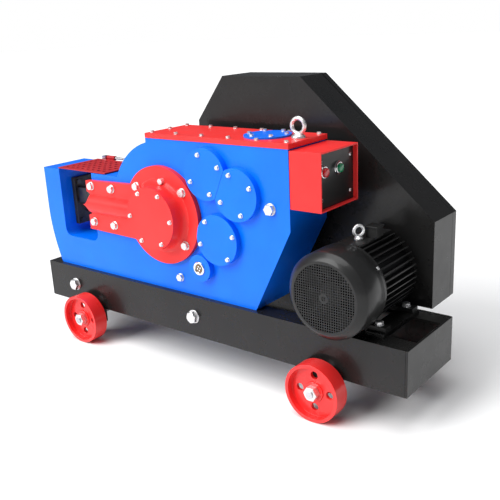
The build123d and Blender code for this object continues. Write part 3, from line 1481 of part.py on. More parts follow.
def guard_foot(x):
    """Angle bracket that holds the belt guard on the rear rail."""
    x0, x1 = x - GUARD_FOOT_HALF, x + GUARD_FOOT_HALF
    sheet = GUARD_FOOT_SHEET
    flat = block(x0, x1, BASE_WIDTH / 2 - GUARD_FOOT_HEIGHT, GUARD_FRONT, TOP_Z, TOP_Z + sheet)
    return flat + block(x0, x1, GUARD_FRONT - sheet, GUARD_FRONT, TOP_Z, TOP_Z + GUARD_FOOT_HEIGHT)


def belt_guard_cover():
    """Outer half, a shallow tray screwed to the inner half."""
    seam = GUARD_REAR - GUARD_SEAM
    outer = slab(outline_face(guard_points()), seam, GUARD_REAR)
    inner = slab(outline_face(guard_points(GUARD_WALL)), seam, GUARD_REAR - GUARD_WALL)
    return outer - inner


# ---- writing ----
def nodes():
    shapes = {
        "base_rails": [base_rail(-1), base_rail(1)],
        "base_end_plates": [end_plate(-1), end_plate(1)],
        "base_cross_members": [cross_member(x) + casing_seat(x) for x in CROSS_X]
        + [motor_rail(MOTOR_X + side * MOTOR_FEET_X / 2) for side in (-1, 1)]
        + [guard_foot(AXIS_A[0] - GUARD_FOOT_X), guard_foot(MOTOR_X)],
        "axle_brackets": [axle_bracket(x, side) for x in (WHEEL_LEFT_X, WHEEL_RIGHT_X) for side in (-1, 1)],
        "axles": [axle(WHEEL_LEFT_X), axle(WHEEL_RIGHT_X)],
        "wheel_nuts": wheel_nut(WHEEL_LEFT_X, -1) + wheel_nut(WHEEL_LEFT_X, 1)
        + wheel_nut(WHEEL_RIGHT_X, -1) + wheel_nut(WHEEL_RIGHT_X, 1),
        "frame_bolts": frame_bolts(),
        "casing_front_plate": [casing_front()],
        "casing_rear_plate": [casing_rear()],
        "casing_rim": [casing_rim()],
        "mouth_lining": [mouth_lining()],
        "lid": [lid()],
        "inspection_cover": [inspection_cover()],
        "lid_bolts": lid_bolts(),
        "lifting_eyes": [
            eye_bolt(
                EYE_X, CASING_MID, CASING_TOP + LID_THICK,
                EYE_SHANK_R, EYE_RING_R, EYE_WIRE_R, LID_THICK,
            ),
            eye_bolt(
                MOTOR_X, MOTOR_EYE_Y, MOTOR_Z + FRAME_FIN_R,
                MOTOR_EYE_R, MOTOR_EYE_RING_R, MOTOR_EYE_WIRE_R, MOTOR_EYE_DEPTH, MOTOR_EYE_TURN,
            ),
        ],
        "crank_cover": [crank_cover()],
        "crank_cover_bolts": crank_cover_bolts(),
        "bearing_covers": bearing_covers(),
        "cover_bolts": cover_bolts(),
        "oil_plugs": oil_plugs(),
        "sight_glass": [sight_glass()],
        "shaft_bearings": shaft_bearings(),
        "crank_bushes": crank_bushes(),
        "ram_guides": ram_guides(),
        "fixed_blade": [fixed_blade()],
        "blade_seat": [blade_seat()],
        "blade_seat_bolts": blade_seat_bolts(),
        "guard_hinge": [guard_hinge()],
        "hand_guard": [hand_guard()],
        "control_box": [control_box()],
        "control_panel": [control_panel()],
        "panel_screws": panel_screws(),
        "button_bezels": button_bezels(),
        "stop_button": [button(BUTTON_Y[0])],
        "start_button": [button(BUTTON_Y[1])],
        "cable_gland": [cable_gland()],
        "motor_frame": [motor_frame()],
        "motor_end_shields": end_shields(),
        "fan_cowl": [fan_cowl()],
        "terminal_box": [terminal_box()],
        "motor_bolts": motor_bolts(),
        "motor_rotor": [motor_rotor()],
        "motor_fan": [motor_fan()],
        "motor_pulley": [motor_pulley()],
        "drive_belts": drive_belts(),
        "belt_guard": [belt_guard()],
        "belt_guard_cover": [belt_guard_cover()],
        "flywheel": [flywheel()],
        "first_shaft": [shaft_a()],
        "second_shaft": [shaft_b(), first_gear()],
        "third_shaft": [shaft_c(), second_gear()],
        "crankshaft": [crankshaft()],
        "crank_gear": [crank_gear()],
        "connecting_rod": [connecting_rod(), wrist_pin()],
        "ram": [ram()],
        "moving_blade": [moving_blade()],
    }
    for name, x, side in (
        ("wheel_front_left", WHEEL_LEFT_X, -1), ("wheel_front_right", WHEEL_RIGHT_X, -1),
        ("wheel_rear_left", WHEEL_LEFT_X, 1), ("wheel_rear_right", WHEEL_RIGHT_X, 1),
    ):
        shapes[name] = [wheel_shape(x, side)]
    return shapes


def write(name, pieces):
    solids = [solid for piece in pieces for solid in piece.solids()]
    placed = [Pos(0, FRAME_SHIFT, 0) * solid for solid in solids]
    export_step(Compound(children=placed), os.path.join("parts", name + ".step"))


def main():
    os.makedirs("parts", exist_ok=True)
    for name, pieces in nodes().items():
        write(name, pieces)


if __name__ == "__main__":
    main()
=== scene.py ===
import json
import math

import bmesh
import bpy
from mathutils import Matrix, Vector


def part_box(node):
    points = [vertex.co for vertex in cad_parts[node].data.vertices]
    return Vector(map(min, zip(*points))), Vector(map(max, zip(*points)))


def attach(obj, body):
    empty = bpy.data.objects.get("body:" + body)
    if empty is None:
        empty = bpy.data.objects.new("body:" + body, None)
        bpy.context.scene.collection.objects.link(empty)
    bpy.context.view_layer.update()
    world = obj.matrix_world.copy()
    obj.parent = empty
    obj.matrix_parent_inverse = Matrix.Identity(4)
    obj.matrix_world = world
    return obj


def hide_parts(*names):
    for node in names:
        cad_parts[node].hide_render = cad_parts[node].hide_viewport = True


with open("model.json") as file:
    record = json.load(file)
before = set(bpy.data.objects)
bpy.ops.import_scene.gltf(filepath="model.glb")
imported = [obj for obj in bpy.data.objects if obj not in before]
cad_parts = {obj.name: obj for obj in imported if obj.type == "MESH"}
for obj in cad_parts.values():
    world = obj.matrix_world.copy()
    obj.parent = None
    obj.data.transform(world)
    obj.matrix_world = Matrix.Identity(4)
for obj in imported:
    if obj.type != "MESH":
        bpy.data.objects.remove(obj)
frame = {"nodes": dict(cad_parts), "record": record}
NODES = frame["nodes"]
BODIES = frame["record"]["behaviour"]["bodies"]
NODE_BODY = {node: body for body, members in BODIES.items() for node in members}
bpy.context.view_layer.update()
MM = 0.001

# Fasteners: sizes as multiples of the shank radius, and the hexagon's chamfer.
HEAD_SCALE = 1.75
HEAD_HEIGHT = 1.3
WASHER_SCALE = 1.12
WASHER_THICK = 1.5
CROWN_SHARE = 0.95
CHAMFER_DEG = 28
HEX_STEPS = 36
HEAD_TURN_DEG = 17.0
AXLE_BORE = 10.1

# Lifting eyes in millimetres: ring radius, wire radius, shank radius and turn in degrees.
BIG_EYE = (18.5, 5, 8, 0.0)
SMALL_EYE = (12.5, 4, 5, 55.0)
BIG_EYE_ABOVE = 650

# Fan cowl in millimetres.
COWL_FACE_INSET = 25
COWL_WALL = 2.5
GRILLE_PITCH = 6.3
GRILLE_BAR = 1.9
GRILLE_DEPTH = 1.6
GRILLE_HUB = 12

# Camera, in metres and degrees, and the light.
CAMERA_AT = (1.3213, -1.5154, 0.9472)
CAMERA_YAW_PITCH_ROLL = (39.105, 17.428, -2.793)
CAMERA_LENS = 52.43
SENSOR_WIDTH = 36.0
VIEW_END = 50.0
FLOOR_HALF = 30.0
KEY_LIGHT = ((-0.55, -1.0, 0.75), 2.9, 40)
TOP_LIGHT = ((-0.1, -0.25, 1.0), 2.4, 50)
WORLD_STRENGTH = 0.14


# ---------------------------------------------------------------- mesh helpers
def new_object(name, mesh):
    piece = bpy.data.objects.new(name, mesh)
    bpy.context.scene.collection.objects.link(piece)
    return piece


def from_bmesh(name, bm, smooth_angle=35):
    """Turns a bmesh into an object with smooth faces and sharp creases above the angle."""
    bmesh.ops.remove_doubles(bm, verts=bm.verts, dist=1e-6)
    bmesh.ops.recalc_face_normals(bm, faces=bm.faces)
    for face in bm.faces:
        face.smooth = True
    limit = math.radians(smooth_angle)
    for edge in bm.edges:
        if len(edge.link_faces) == 2 and edge.calc_face_angle(0) > limit:
            edge.smooth = False
    mesh = bpy.data.meshes.new(name)
    bm.to_mesh(mesh)
    bm.free()
    return new_object(name, mesh)


def box_mm(lo, hi):
    """A node's box as two vectors in millimetres."""
    return Vector(lo) / MM, Vector(hi) / MM


def frame_along(axis):
    """Rotation that takes +Z to the given direction."""
    return Vector((0, 0, 1)).rotation_difference(Vector(axis)).to_matrix().to_4x4()


def revolve(bm, profile, centre, axis, steps=48):
    """Spins a closed (radius, height) outline, in millimetres, about an axis through centre."""
    turn = Matrix.Translation(Vector(centre) * MM) @ frame_along(axis)
    rings = []
    for radius, height in profile:
        if radius < 1e-6:
            rings.append([bm.verts.new(turn @ Vector((0, 0, height * MM)))])
            continue
        ring = []
        for number in range(steps):
            angle = 2 * math.pi * number / steps
            point = Vector((radius * MM * math.cos(angle), radius * MM * math.sin(angle), height * MM))
            ring.append(bm.verts.new(turn @ point))
        rings.append(ring)
    for first, second in zip(rings, rings[1:] + rings[:1]):
        bridge(bm, first, second, steps)


def bridge(bm, first, second, steps):
    """Faces between two rings, either of which may be a single point on the axis."""
    if len(first) == 1 and len(second) == 1:
        return
    for number in range(steps):
        after = (number + 1) % steps
        if len(first) == 1:
            bm.faces.new((first[0], second[number], second[after]))
        elif len(second) == 1:
            bm.faces.new((first[number], second[0], first[after]))
        else:
            bm.faces.new((first[number], second[number], second[after], first[after]))


def fillet(centre, radius, start, end, steps=5):
    """Points of a round corner: centre (radius, height) and two angles in degrees."""
    points = []
    for number in range(steps + 1):
        angle = math.radians(start + (end - start) * number / steps)
        points.append((centre[0] + radius * math.cos(angle), centre[1] + radius * math.sin(angle)))
    return points


def hex_prism(bm, centre, axis, across, height, turn_deg=0.0):
    """Hexagon whose corners are chamfered by a flat cone; across is the distance over corners."""
    place = Matrix.Translation(Vector(centre) * MM) @ frame_along(axis)
    inner = across / 2 * math.cos(math.radians(30))
    crown = inner * CROWN_SHARE
    slope = math.tan(math.radians(CHAMFER_DEG))
    rings = [[], [], []]
    for number in range(HEX_STEPS):
        angle = 2 * math.pi * number / HEX_STEPS
        local = (math.degrees(angle) % 60) - 30
        reach = inner / math.cos(math.radians(local))
        turned = angle + math.radians(turn_deg)
        out = Vector((math.cos(turned), math.sin(turned), 0))
        shoulder = height - (reach - crown) * slope
        for ring, radius, level in zip(rings, (reach, reach, crown), (0, shoulder, height)):
            ring.append(bm.verts.new(place @ ((out * radius + Vector((0, 0, level))) * MM)))
    for first, second in zip(rings, rings[1:]):
        bridge(bm, first, second, HEX_STEPS)
    bm.faces.new(list(reversed(rings[0])))
    bm.faces.new(rings[-1])


def islands(node):
    """Boxes, in millimetres, of the separate solids of a CAD node, sorted by place."""
    bm = bmesh.new()
    bm.from_mesh(NODES[node].data)
    bmesh.ops.remove_doubles(bm, verts=bm.verts, dist=1e-5)
    bm.verts.ensure_lookup_table()
    seen = set()
    boxes = []
    for start in bm.verts:
        if start.index in seen:
            continue
        stack = [start]
        seen.add(start.index)
        points = []
        while stack:
            vert = stack.pop()
            points.append(vert.co.copy())
            for edge in vert.link_edges:
                other = edge.other_vert(vert)
                if other.index not in seen:
                    seen.add(other.index)
                    stack.append(other)
        lo = Vector([min(p[k] for p in points) for k in range(3)]) / MM
        hi = Vector([max(p[k] for p in points) for k in range(3)]) / MM
        boxes.append((lo, hi))
    bm.free()
    return sorted(boxes, key=lambda pair: tuple(round(c, 2) for c in pair[0]))


def add_modifier(piece, kind, **values):
    modifier = piece.modifiers.new(kind.lower(), kind)
    for key, value in values.items():
        setattr(modifier, key, value)
    return modifier


def soften(piece, width_mm, segments=2, angle=30):
    """Rounds the sharp edges of a piece a little, as paint and handling do."""
    add_modifier(piece, "WELD", merge_threshold=1e-5)
    add_modifier(piece, "DECIMATE", decimate_type="DISSOLVE", angle_limit=math.radians(0.6))
    add_modifier(
        piece, "BEVEL", width=width_mm * MM, segments=segments, limit_method="ANGLE",
        angle_limit=math.radians(angle), miter_outer="MITER_ARC",
    )
    add_modifier(piece, "WEIGHTED_NORMAL", weight=80)


# ---------------------------------------------------------------- materials
class Shader:
    """Small helper that adds and links shader nodes of one material."""

    def __init__(self, name):
        self.material = bpy.data.materials.new(name)
        self.material.use_nodes = True
        self.tree = self.material.node_tree
        self.surface = self.tree.nodes["Principled BSDF"]
        self.place = self.add("ShaderNodeTexCoord").outputs["Object"]

    def add(self, kind, **values):
        node = self.tree.nodes.new(kind)
        for key, value in values.items():
            setattr(node, key, value)
        return node

    def link(self, source, target):
        self.tree.links.new(source, target)

    def noise(self, scale, detail=4.0, roughness=0.55):
        node = self.add("ShaderNodeTexNoise")
        node.inputs["Scale"].default_value = scale
        node.inputs["Detail"].default_value = detail
        node.inputs["Roughness"].default_value = roughness
        self.link(self.place, node.inputs["Vector"])
        return node.outputs["Fac"]

    def remap(self, source, low, high, out_low, out_high):
        node = self.add("ShaderNodeMapRange")
        limits = {"From Min": low, "From Max": high, "To Min": out_low, "To Max": out_high}
        for key, value in limits.items():
            node.inputs[key].default_value = value
        self.link(source, node.inputs["Value"])
        return node.outputs["Result"]

    def mix(self, factor, first, second):
        node = self.add("ShaderNodeMix", data_type="RGBA")
        for value, socket in ((first, node.inputs[6]), (second, node.inputs[7])):
            if isinstance(value, tuple):
                socket.default_value = (*value, 1)
            else:
                self.link(value, socket)
        self.link(factor, node.inputs[0])
        return node.outputs[2]

    def edges(self, radius_mm, gain):
        """Mask of sharp edges, for painted highlights: where the rounded normal leaves the true one."""
        bevel = self.add("ShaderNodeBevel", samples=4)
        bevel.inputs["Radius"].default_value = radius_mm * MM
        geometry = self.add("ShaderNodeNewGeometry")
        dot = self.add("ShaderNodeVectorMath", operation="DOT_PRODUCT")
        self.link(bevel.outputs["Normal"], dot.inputs[0])
        self.link(geometry.outputs["Normal"], dot.inputs[1])
        return self.remap(dot.outputs["Value"], 1.0, 1.0 - gain, 0.0, 1.0)

    def bump(self, height, strength, distance_mm):
        node = self.add("ShaderNodeBump")
        node.inputs["Strength"].default_value = strength
        node.inputs["Distance"].default_value = distance_mm * MM
        self.link(height, node.inputs["Height"])
        self.link(node.outputs["Normal"], self.surface.inputs["Normal"])

    def set(self, **values):
        for key, value in values.items():
            self.surface.inputs[key.replace("_", " ")].default_value = value


def paint(name, colour, light, roughness, coat, edge_highlight, peel=0.25, edge_highlight_amount=0.35, specular=0.25):
    """Sprayed enamel: slight cloudiness, orange peel, painted highlights on the edges broken up by
    noise, and dust in the roughness.
    """
    shader = Shader(name)
    cloud = shader.remap(shader.noise(5.0), 0.35, 0.65, 0.0, 1.0)
    base = shader.mix(cloud, colour, light)
    # Painted highlight: sharp edges are lightened towards the edge highlight colour, broken up by noise.
    highlight_breakup = shader.remap(shader.noise(60.0, 8.0, 0.7), 0.45, 0.75, 0.0, 1.0)
    edge = shader.edges(1.6, 0.25)
    product = shader.add("ShaderNodeMath", operation="MULTIPLY")
    shader.link(highlight_breakup, product.inputs[0])
    shader.link(edge, product.inputs[1])
    highlight_factor = shader.remap(product.outputs[0], 0.0, 1.0, 0.0, edge_highlight_amount)
    shader.link(shader.mix(highlight_factor, base, edge_highlight), shader.surface.inputs["Base Color"])
    rough = shader.remap(shader.noise(14.0, 6.0, 0.6), 0.3, 0.7, roughness * 0.8, roughness * 1.25)
    shader.link(rough, shader.surface.inputs["Roughness"])
    shader.set(Coat_Weight=coat, Coat_Roughness=0.08, Specular_IOR_Level=specular)
    shader.bump(shader.noise(420.0, 2.0, 0.5), peel, 0.06)
    return shader.material


def metal(name, colour, dark, roughness, streak=(1.0, 1.0, 1.0), bump=0.15, scale=180.0, metallic=1.0):
    """Bare or plated metal with fine directional marks and duller patches."""
    shader = Shader(name)
    mapping = shader.add("ShaderNodeMapping")
    mapping.inputs["Scale"].default_value = streak
    shader.link(shader.place, mapping.inputs["Vector"])
    fine = shader.add("ShaderNodeTexNoise")
    fine.inputs["Scale"].default_value = scale
    fine.inputs["Detail"].default_value = 5.0
    shader.link(mapping.outputs["Vector"], fine.inputs["Vector"])
    patches = shader.remap(shader.noise(30.0), 0.35, 0.7, 0.0, 1.0)
    shader.link(shader.mix(patches, colour, dark), shader.surface.inputs["Base Color"])
    rough = shader.remap(fine.outputs["Fac"], 0.3, 0.7, roughness * 0.7, roughness * 1.4)
    shader.link(rough, shader.surface.inputs["Roughness"])
    shader.set(Metallic=metallic)
    shader.bump(fine.outputs["Fac"], bump, 0.05)
    return shader.material


def plastic(name, colour, roughness, coat=0.0, grain=0.2):
    shader = Shader(name)
    shade = tuple(c * 0.7 for c in colour)
    tone = shader.remap(shader.noise(40.0), 0.3, 0.7, 0.0, 1.0)
    shader.link(shader.mix(tone, colour, shade), shader.surface.inputs["Base Color"])
    rough = shader.remap(shader.noise(90.0), 0.3, 0.7, roughness * 0.8, roughness * 1.2)
    shader.link(rough, shader.surface.inputs["Roughness"])
    shader.set(Coat_Weight=coat, Coat_Roughness=0.05)
    shader.bump(shader.noise(900.0, 3.0), grain, 0.04)
    return shader.material


def make_materials():
    # Each paint: colour, lighter random tone, roughness, coat, then the lighter colour used as painted
    # highlight on its edges.
    return {
        "casing_blue": paint(
            "casing_paint", (0.0, 0.15, 0.9), (0.0, 0.18, 0.95), 0.34, 0.06, (0.2, 0.42, 0.95),
        ),
        "cover_red": paint(
            "cover_paint", (0.84, 0.026, 0.026), (0.9, 0.038, 0.036), 0.36, 0.06, (0.95, 0.3, 0.26),
        ),
        "guard_red": paint(
            "guard_paint", (0.42, 0.016, 0.022), (0.48, 0.022, 0.028), 0.42, 0.05, (0.7, 0.2, 0.2),
        ),
        "wheel_red": paint(
            "wheel_paint", (0.78, 0.02, 0.02), (0.86, 0.03, 0.028), 0.3, 0.4, (0.95, 0.3, 0.26),
        ),
        "frame_black": paint(
            "frame_paint", (0.009, 0.009, 0.009), (0.013, 0.0125, 0.012), 0.28, 0.12,
            (0.2, 0.2, 0.2), peel=0.1, edge_highlight_amount=0.2,
        ),
        "motor_grey": paint(
            "motor_paint", (0.010, 0.010, 0.010), (0.016, 0.016, 0.016), 0.42, 0.06,
            (0.12, 0.12, 0.12), peel=0.5, edge_highlight_amount=0.5,
        ),
        "cowl_black": paint(
            "cowl_paint", (0.014, 0.014, 0.014), (0.02, 0.02, 0.02), 0.34, 0.12,
            (0.15, 0.15, 0.15), peel=0.2, edge_highlight_amount=0.4,
        ),
        "panel_black": paint(
            "panel_paint", (0.008, 0.008, 0.008), (0.012, 0.012, 0.012), 0.35, 0.2,
            (0.1, 0.1, 0.1), edge_highlight_amount=0.2,
        ),
        "zinc": metal(
            "zinc_plate", (0.8, 0.8, 0.8), (0.7, 0.7, 0.71), 0.3, bump=0.05, metallic=0.75,
        ),
        "machined_steel": metal(
            "machined_steel", (0.62, 0.62, 0.64), (0.45, 0.45, 0.47), 0.32, (1, 12, 1),
        ),
        "blade_steel": metal("blade_steel", (0.1, 0.1, 0.105), (0.05, 0.05, 0.055), 0.4, (1, 1, 8)),
        "cast_grey": metal(
            "cast_iron", (0.05, 0.05, 0.05), (0.025, 0.025, 0.025), 0.55,
            bump=0.6, scale=260, metallic=0.3,
        ),
        "bronze": metal("bearing_bronze", (0.72, 0.45, 0.2), (0.5, 0.3, 0.13), 0.35),
        "chrome_rim": metal("chrome", (0.95, 0.95, 0.96), (0.85, 0.85, 0.87), 0.1, bump=0.03),
        "sight_ring": metal("sight_ring", (0.85, 0.85, 0.86), (0.7, 0.7, 0.72), 0.2),
        "belt_rubber": plastic("belt_rubber", (0.018, 0.018, 0.018), 0.7, grain=0.5),
        "button_red": plastic("button_red", (0.62, 0.004, 0.01), 0.25, 0.6, 0.05),
        "button_green": plastic("button_green", (0.0, 0.22, 0.085), 0.25, 0.6, 0.05),
        "gland_plastic": plastic("gland_plastic", (0.02, 0.02, 0.02), 0.55),
        "fan_plastic": plastic("fan_plastic", (0.008, 0.008, 0.008), 0.6),
        "oil_eye": plastic("oil_eye", (0.16, 0.09, 0.02), 0.1, 0.9, 0.02),
        # Near-black, used as painted shade in the screw recesses.
        "slot_shade": plastic("slot_shade", (0.006, 0.006, 0.006), 0.7),
    }


MATERIALS = make_materials()
SLOT_OF = {entry["node"]: entry["material_slot"] for entry in frame["record"]["subparts"]}
SLOT_MATERIAL = {"sight_glass": "sight_ring"}
NODE_MATERIAL = {"hand_guard": "guard_red", "motor_rotor": "cast_grey"}


def give(piece, material_name):
    piece.data.materials.clear()
    piece.data.materials.append(MATERIALS[material_name])


def finish_piece(piece, node, material_name=None):
    """Gives a new piece that stands for, or belongs to, a CAD node its material, chosen by the node's
    slot, and its body.
    """
    slot = SLOT_OF[node]
    give(piece, material_name or SLOT_MATERIAL.get(slot, slot))
    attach(piece, NODE_BODY[node])


def dress_cad_nodes():
    for node, piece in NODES.items():
        slot = SLOT_OF[node]
        give(piece, NODE_MATERIAL.get(node, SLOT_MATERIAL.get(slot, slot)))


SOFT_EDGES = {
    "base_rails": 2.5, "base_end_plates": 1.2, "base_cross_members": 1.5, "axle_brackets": 1.5,
    "casing_front_plate": 1.6, "casing_rear_plate": 1.6, "casing_rim": 1.2, "mouth_lining": 1.2,
    "lid": 1.5, "inspection_cover": 1.0, "bearing_covers": 1.8, "control_box": 1.0,
    "hand_guard": 0.5, "belt_guard": 1.2, "belt_guard_cover": 2.0, "terminal_box": 1.5,
    "blade_seat": 1.2, "fixed_blade": 0.6, "moving_blade": 0.6, "ram": 0.8, "control_panel": 0.4,
    "crank_cover": 1.8, "motor_frame": 0.8, "motor_end_shields": 1.5,
    "wheel_front_left": 1.6, "wheel_front_right": 1.6, "wheel_rear_left": 1.6, "wheel_rear_right": 1.6,
}


def soften_cad_nodes():
    for node, width in SOFT_EDGES.items():
        soften(NODES[node], width)


# ---------------------------------------------------------------- fasteners
def bolt_pieces(node, axis):
    """Replaces a node of hex bolts by chamfered heads on dished washers, one for each solid."""
    bm = bmesh.new()
    outward = Vector(axis)
    along = max(range(3), key=lambda k: abs(outward[k]))
    sides = [k for k in range(3) if k != along]
    for number, (lo, hi) in enumerate(islands(node)):
        centre = (lo + hi) / 2
        width = min(hi[k] - lo[k] for k in sides)
        washer_r = width / 2
        shank_r = washer_r / (WASHER_SCALE * HEAD_SCALE)
        head = HEAD_HEIGHT * shank_r
        top = hi[along] if outward[along] > 0 else lo[along]
        seat = top - outward[along] * (head + WASHER_THICK)
        base = centre.copy()
        base[along] = seat
        washer = [(0, 0), (washer_r, 0), (washer_r, 1.0)]
        washer += [(washer_r - 0.6, WASHER_THICK), (0, WASHER_THICK)]
        revolve(bm, washer, base, axis, 32)
        lifted = base + outward * WASHER_THICK
        across = 2 * HEAD_SCALE * shank_r
        hex_prism(bm, lifted, axis, across, head, HEAD_TURN_DEG * number)
    piece = from_bmesh(node + "_heads", bm, 24)
    finish_piece(piece, node)
    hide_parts(node)


def wheel_nut_pieces():
    """Washers, with a bore for the axle, and plain solid hex nuts."""
    bm = bmesh.new()
    node = "wheel_nuts"
    for lo, hi in islands(node):
        centre = (lo + hi) / 2
        side = 1 if centre.y > 0 else -1
        depth = hi.y - lo.y
        inner = Vector((centre.x, lo.y if side > 0 else hi.y, centre.z))
        axis = (0, side, 0)
        if depth < 5:
            radius = (hi.x - lo.x) / 2
            washer = [(AXLE_BORE, 0), (radius, 0), (radius, depth - 0.7)]
            washer += [(radius - 0.8, depth), (AXLE_BORE, depth)]
            revolve(bm, washer, inner, axis)
        else:
            across = max(hi.z - lo.z, hi.x - lo.x)
            hex_prism(bm, inner, axis, across, depth)
    piece = from_bmesh("wheel_nut_set", bm, 24)
    finish_piece(piece, node)
    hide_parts(node)


def eye_ring(bm, centre, ring_r, wire_r, turn_deg, steps=64, sides=20):
    """Torus standing in the XZ plane, turned about Z."""
    spin = Matrix.Rotation(math.radians(turn_deg), 4, "Z")
    rings = []
    for step in range(steps):
        angle = 2 * math.pi * step / steps
        out = Vector((math.cos(angle), 0, math.sin(angle)))
        ring = []
        for side in range(sides):
            turn = 2 * math.pi * side / sides
            offset = out * (ring_r + wire_r * math.cos(turn)) + Vector((0, wire_r * math.sin(turn), 0))
            ring.append(bm.verts.new((Vector(centre) + spin @ offset) * MM))
        rings.append(ring)
    for first, second in zip(rings, rings[1:] + rings[:1]):
        for side in range(sides):
            after = (side + 1) % sides
            bm.faces.new((first[side], first[after], second[after], second[side]))


def lifting_eye_pieces():
    bm = bmesh.new()
    for lo, hi in islands("lifting_eyes"):
        ring_r, wire_r, shank, turn = BIG_EYE if hi.z > BIG_EYE_ABOVE else SMALL_EYE
        x, y = (lo.x + hi.x) / 2, (lo.y + hi.y) / 2
        ring_z = hi.z - ring_r - wire_r
        seat = ring_z - ring_r - wire_r - 0.8 * shank
        collar = 2.2 * shank
        neck = ring_z - ring_r - seat
        profile = [(0, 0), (collar, 0), (collar, 0.5 * shank), (collar - 1.5, 0.8 * shank)]
        profile += [(1.9 * shank, 0.85 * shank), (1.35 * shank, 1.2 * shank)]
        profile += [(1.15 * shank, neck), (0, neck)]
        revolve(bm, profile, (x, y, seat), (0, 0, 1))
        eye_ring(bm, (x, y, ring_z), ring_r, wire_r, turn)
    piece = from_bmesh("lifting_eye_forgings", bm)
    finish_piece(piece, "lifting_eyes")
    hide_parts("lifting_eyes")


# ---------------------------------------------------------------- motor
def grille_bars(bm, centre, radius, pitch, bar, depth, hub):
    """Woven-looking grid of flat bars that fills a circle on the XZ plane, front face at centre.y."""
    count = int(radius / pitch)
    for number in range(-count, count + 1):
        offset = number * pitch
        reach = math.sqrt(max(radius ** 2 - offset ** 2, 0))
        if reach < pitch:
            continue
        for vertical in (True, False):
            size = (bar, depth, 2 * reach) if vertical else (2 * reach, depth * 0.8, bar)
            place = (offset, 0, 0) if vertical else (0, 0.2, offset)
            spot = Vector(centre) + Vector(place) + Vector((0, depth / 2, 0))
            matrix = Matrix.Translation(spot * MM) @ Matrix.Diagonal((*[s * MM for s in size], 1))
            bmesh.ops.create_cube(bm, size=1.0, matrix=matrix)
    ring = [(hub * 0.45, 0), (hub, 0), (hub, -depth), (hub * 0.45, -depth)]
    revolve(bm, ring, Vector(centre) + Vector((0, -0.4, 0)), (0, -1, 0), 40)


def cowl_pieces():
    """Pressed fan cowl: conical front edge, plain barrel, stepped band and square-mesh face."""
    lo, hi = box_mm(*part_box("fan_cowl"))
    centre_x, centre_z = (lo.x + hi.x) / 2, (lo.z + hi.z) / 2
    radius = (hi.x - lo.x) / 2
    length = hi.y - lo.y
    face_r = radius - COWL_FACE_INSET
    wall = COWL_WALL
    profile = [(face_r, 0), (radius - 20, 0), (radius - 18, 0.6), (radius - 2, 15), (radius, 19)]
    profile = [(r, min(max(h, 0), length)) for r, h in profile]
    profile += [(radius, length - 16), (radius - 1.5, length - 14), (radius - 1.5, length)]
    inner = [(radius - 1.5 - wall, length), (radius - wall - 1.5, 19)]
    inner += [(radius - 21, wall), (face_r, wall)]
    bm = bmesh.new()
    revolve(bm, profile + inner, (centre_x, lo.y, centre_z), (0, 1, 0), 96)
    barrel = from_bmesh("fan_cowl_barrel", bm, 40)
    finish_piece(barrel, "fan_cowl")
    bm = bmesh.new()
    spot = (centre_x, lo.y + 0.6, centre_z)
    grille_bars(bm, spot, face_r + 0.5, GRILLE_PITCH, GRILLE_BAR, GRILLE_DEPTH, GRILLE_HUB)
    grille = from_bmesh("fan_cowl_grille", bm)
    finish_piece(grille, "fan_cowl")
    bm = bmesh.new()
    for degrees in (35, 145, 270):
        angle = math.radians(degrees)
        out = Vector((math.cos(angle), 0, math.sin(angle)))
        spot = Vector((centre_x, hi.y - 7, centre_z)) + out * (radius - 1.6)
        revolve(bm, [(0, 0), (4.6, 0), (4.2, 1.0), (2.5, 1.5), (0, 1.5)], spot, out, 20)
    screws = from_bmesh("fan_cowl_screws", bm)
    finish_piece(screws, "fan_cowl", "zinc")
    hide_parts("fan_cowl")
    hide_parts("fan_cowl")
    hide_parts("fan_cowl")


# ---------------------------------------------------------------- control box
def button_pieces():
    """Domed push buttons and turned chrome bezels."""
    for node, colour in (("stop_button", "button_red"), ("start_button", "button_green")):
        lo, hi = box_mm(*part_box(node))
        centre = Vector((lo.x, (lo.y + hi.y) / 2, (lo.z + hi.z) / 2))
        radius = (hi.y - lo.y) / 2
        length = hi.x - lo.x
        dome = [(0, 0), (radius, 0), (radius, length - 3.2)]
        dome += fillet((radius - 2.2, length - 3.2), 2.2, 0, 75, 5)[1:]
        dome += [(radius * 0.5, length - 0.25), (0, length)]
        bm = bmesh.new()
        revolve(bm, dome, centre, (1, 0, 0), 48)
        piece = from_bmesh(node + "_cap", bm, 50)
        finish_piece(piece, node, colour)
        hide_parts(node)
    bm = bmesh.new()
    for lo, hi in islands("button_bezels"):
        y, z = (lo.y + hi.y) / 2, (lo.z + hi.z) / 2
        radius = (hi.y - lo.y) / 2
        bore = radius - 4.4
        base = hi.x - 7
        ring = [(bore, 0), (radius, 0), (radius, 2.2), (radius - 0.8, 3.0), (radius - 1.2, 5.4)]
        ring += fillet((radius - 2.6, 5.6), 1.4, 0, 90, 4)
        ring += [(bore + 0.8, 7), (bore, 6.4)]
        revolve(bm, ring, (base, y, z), (1, 0, 0), 64)
    piece = from_bmesh("button_bezel_rings", bm)
    finish_piece(piece, "button_bezels")
    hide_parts("button_bezels")


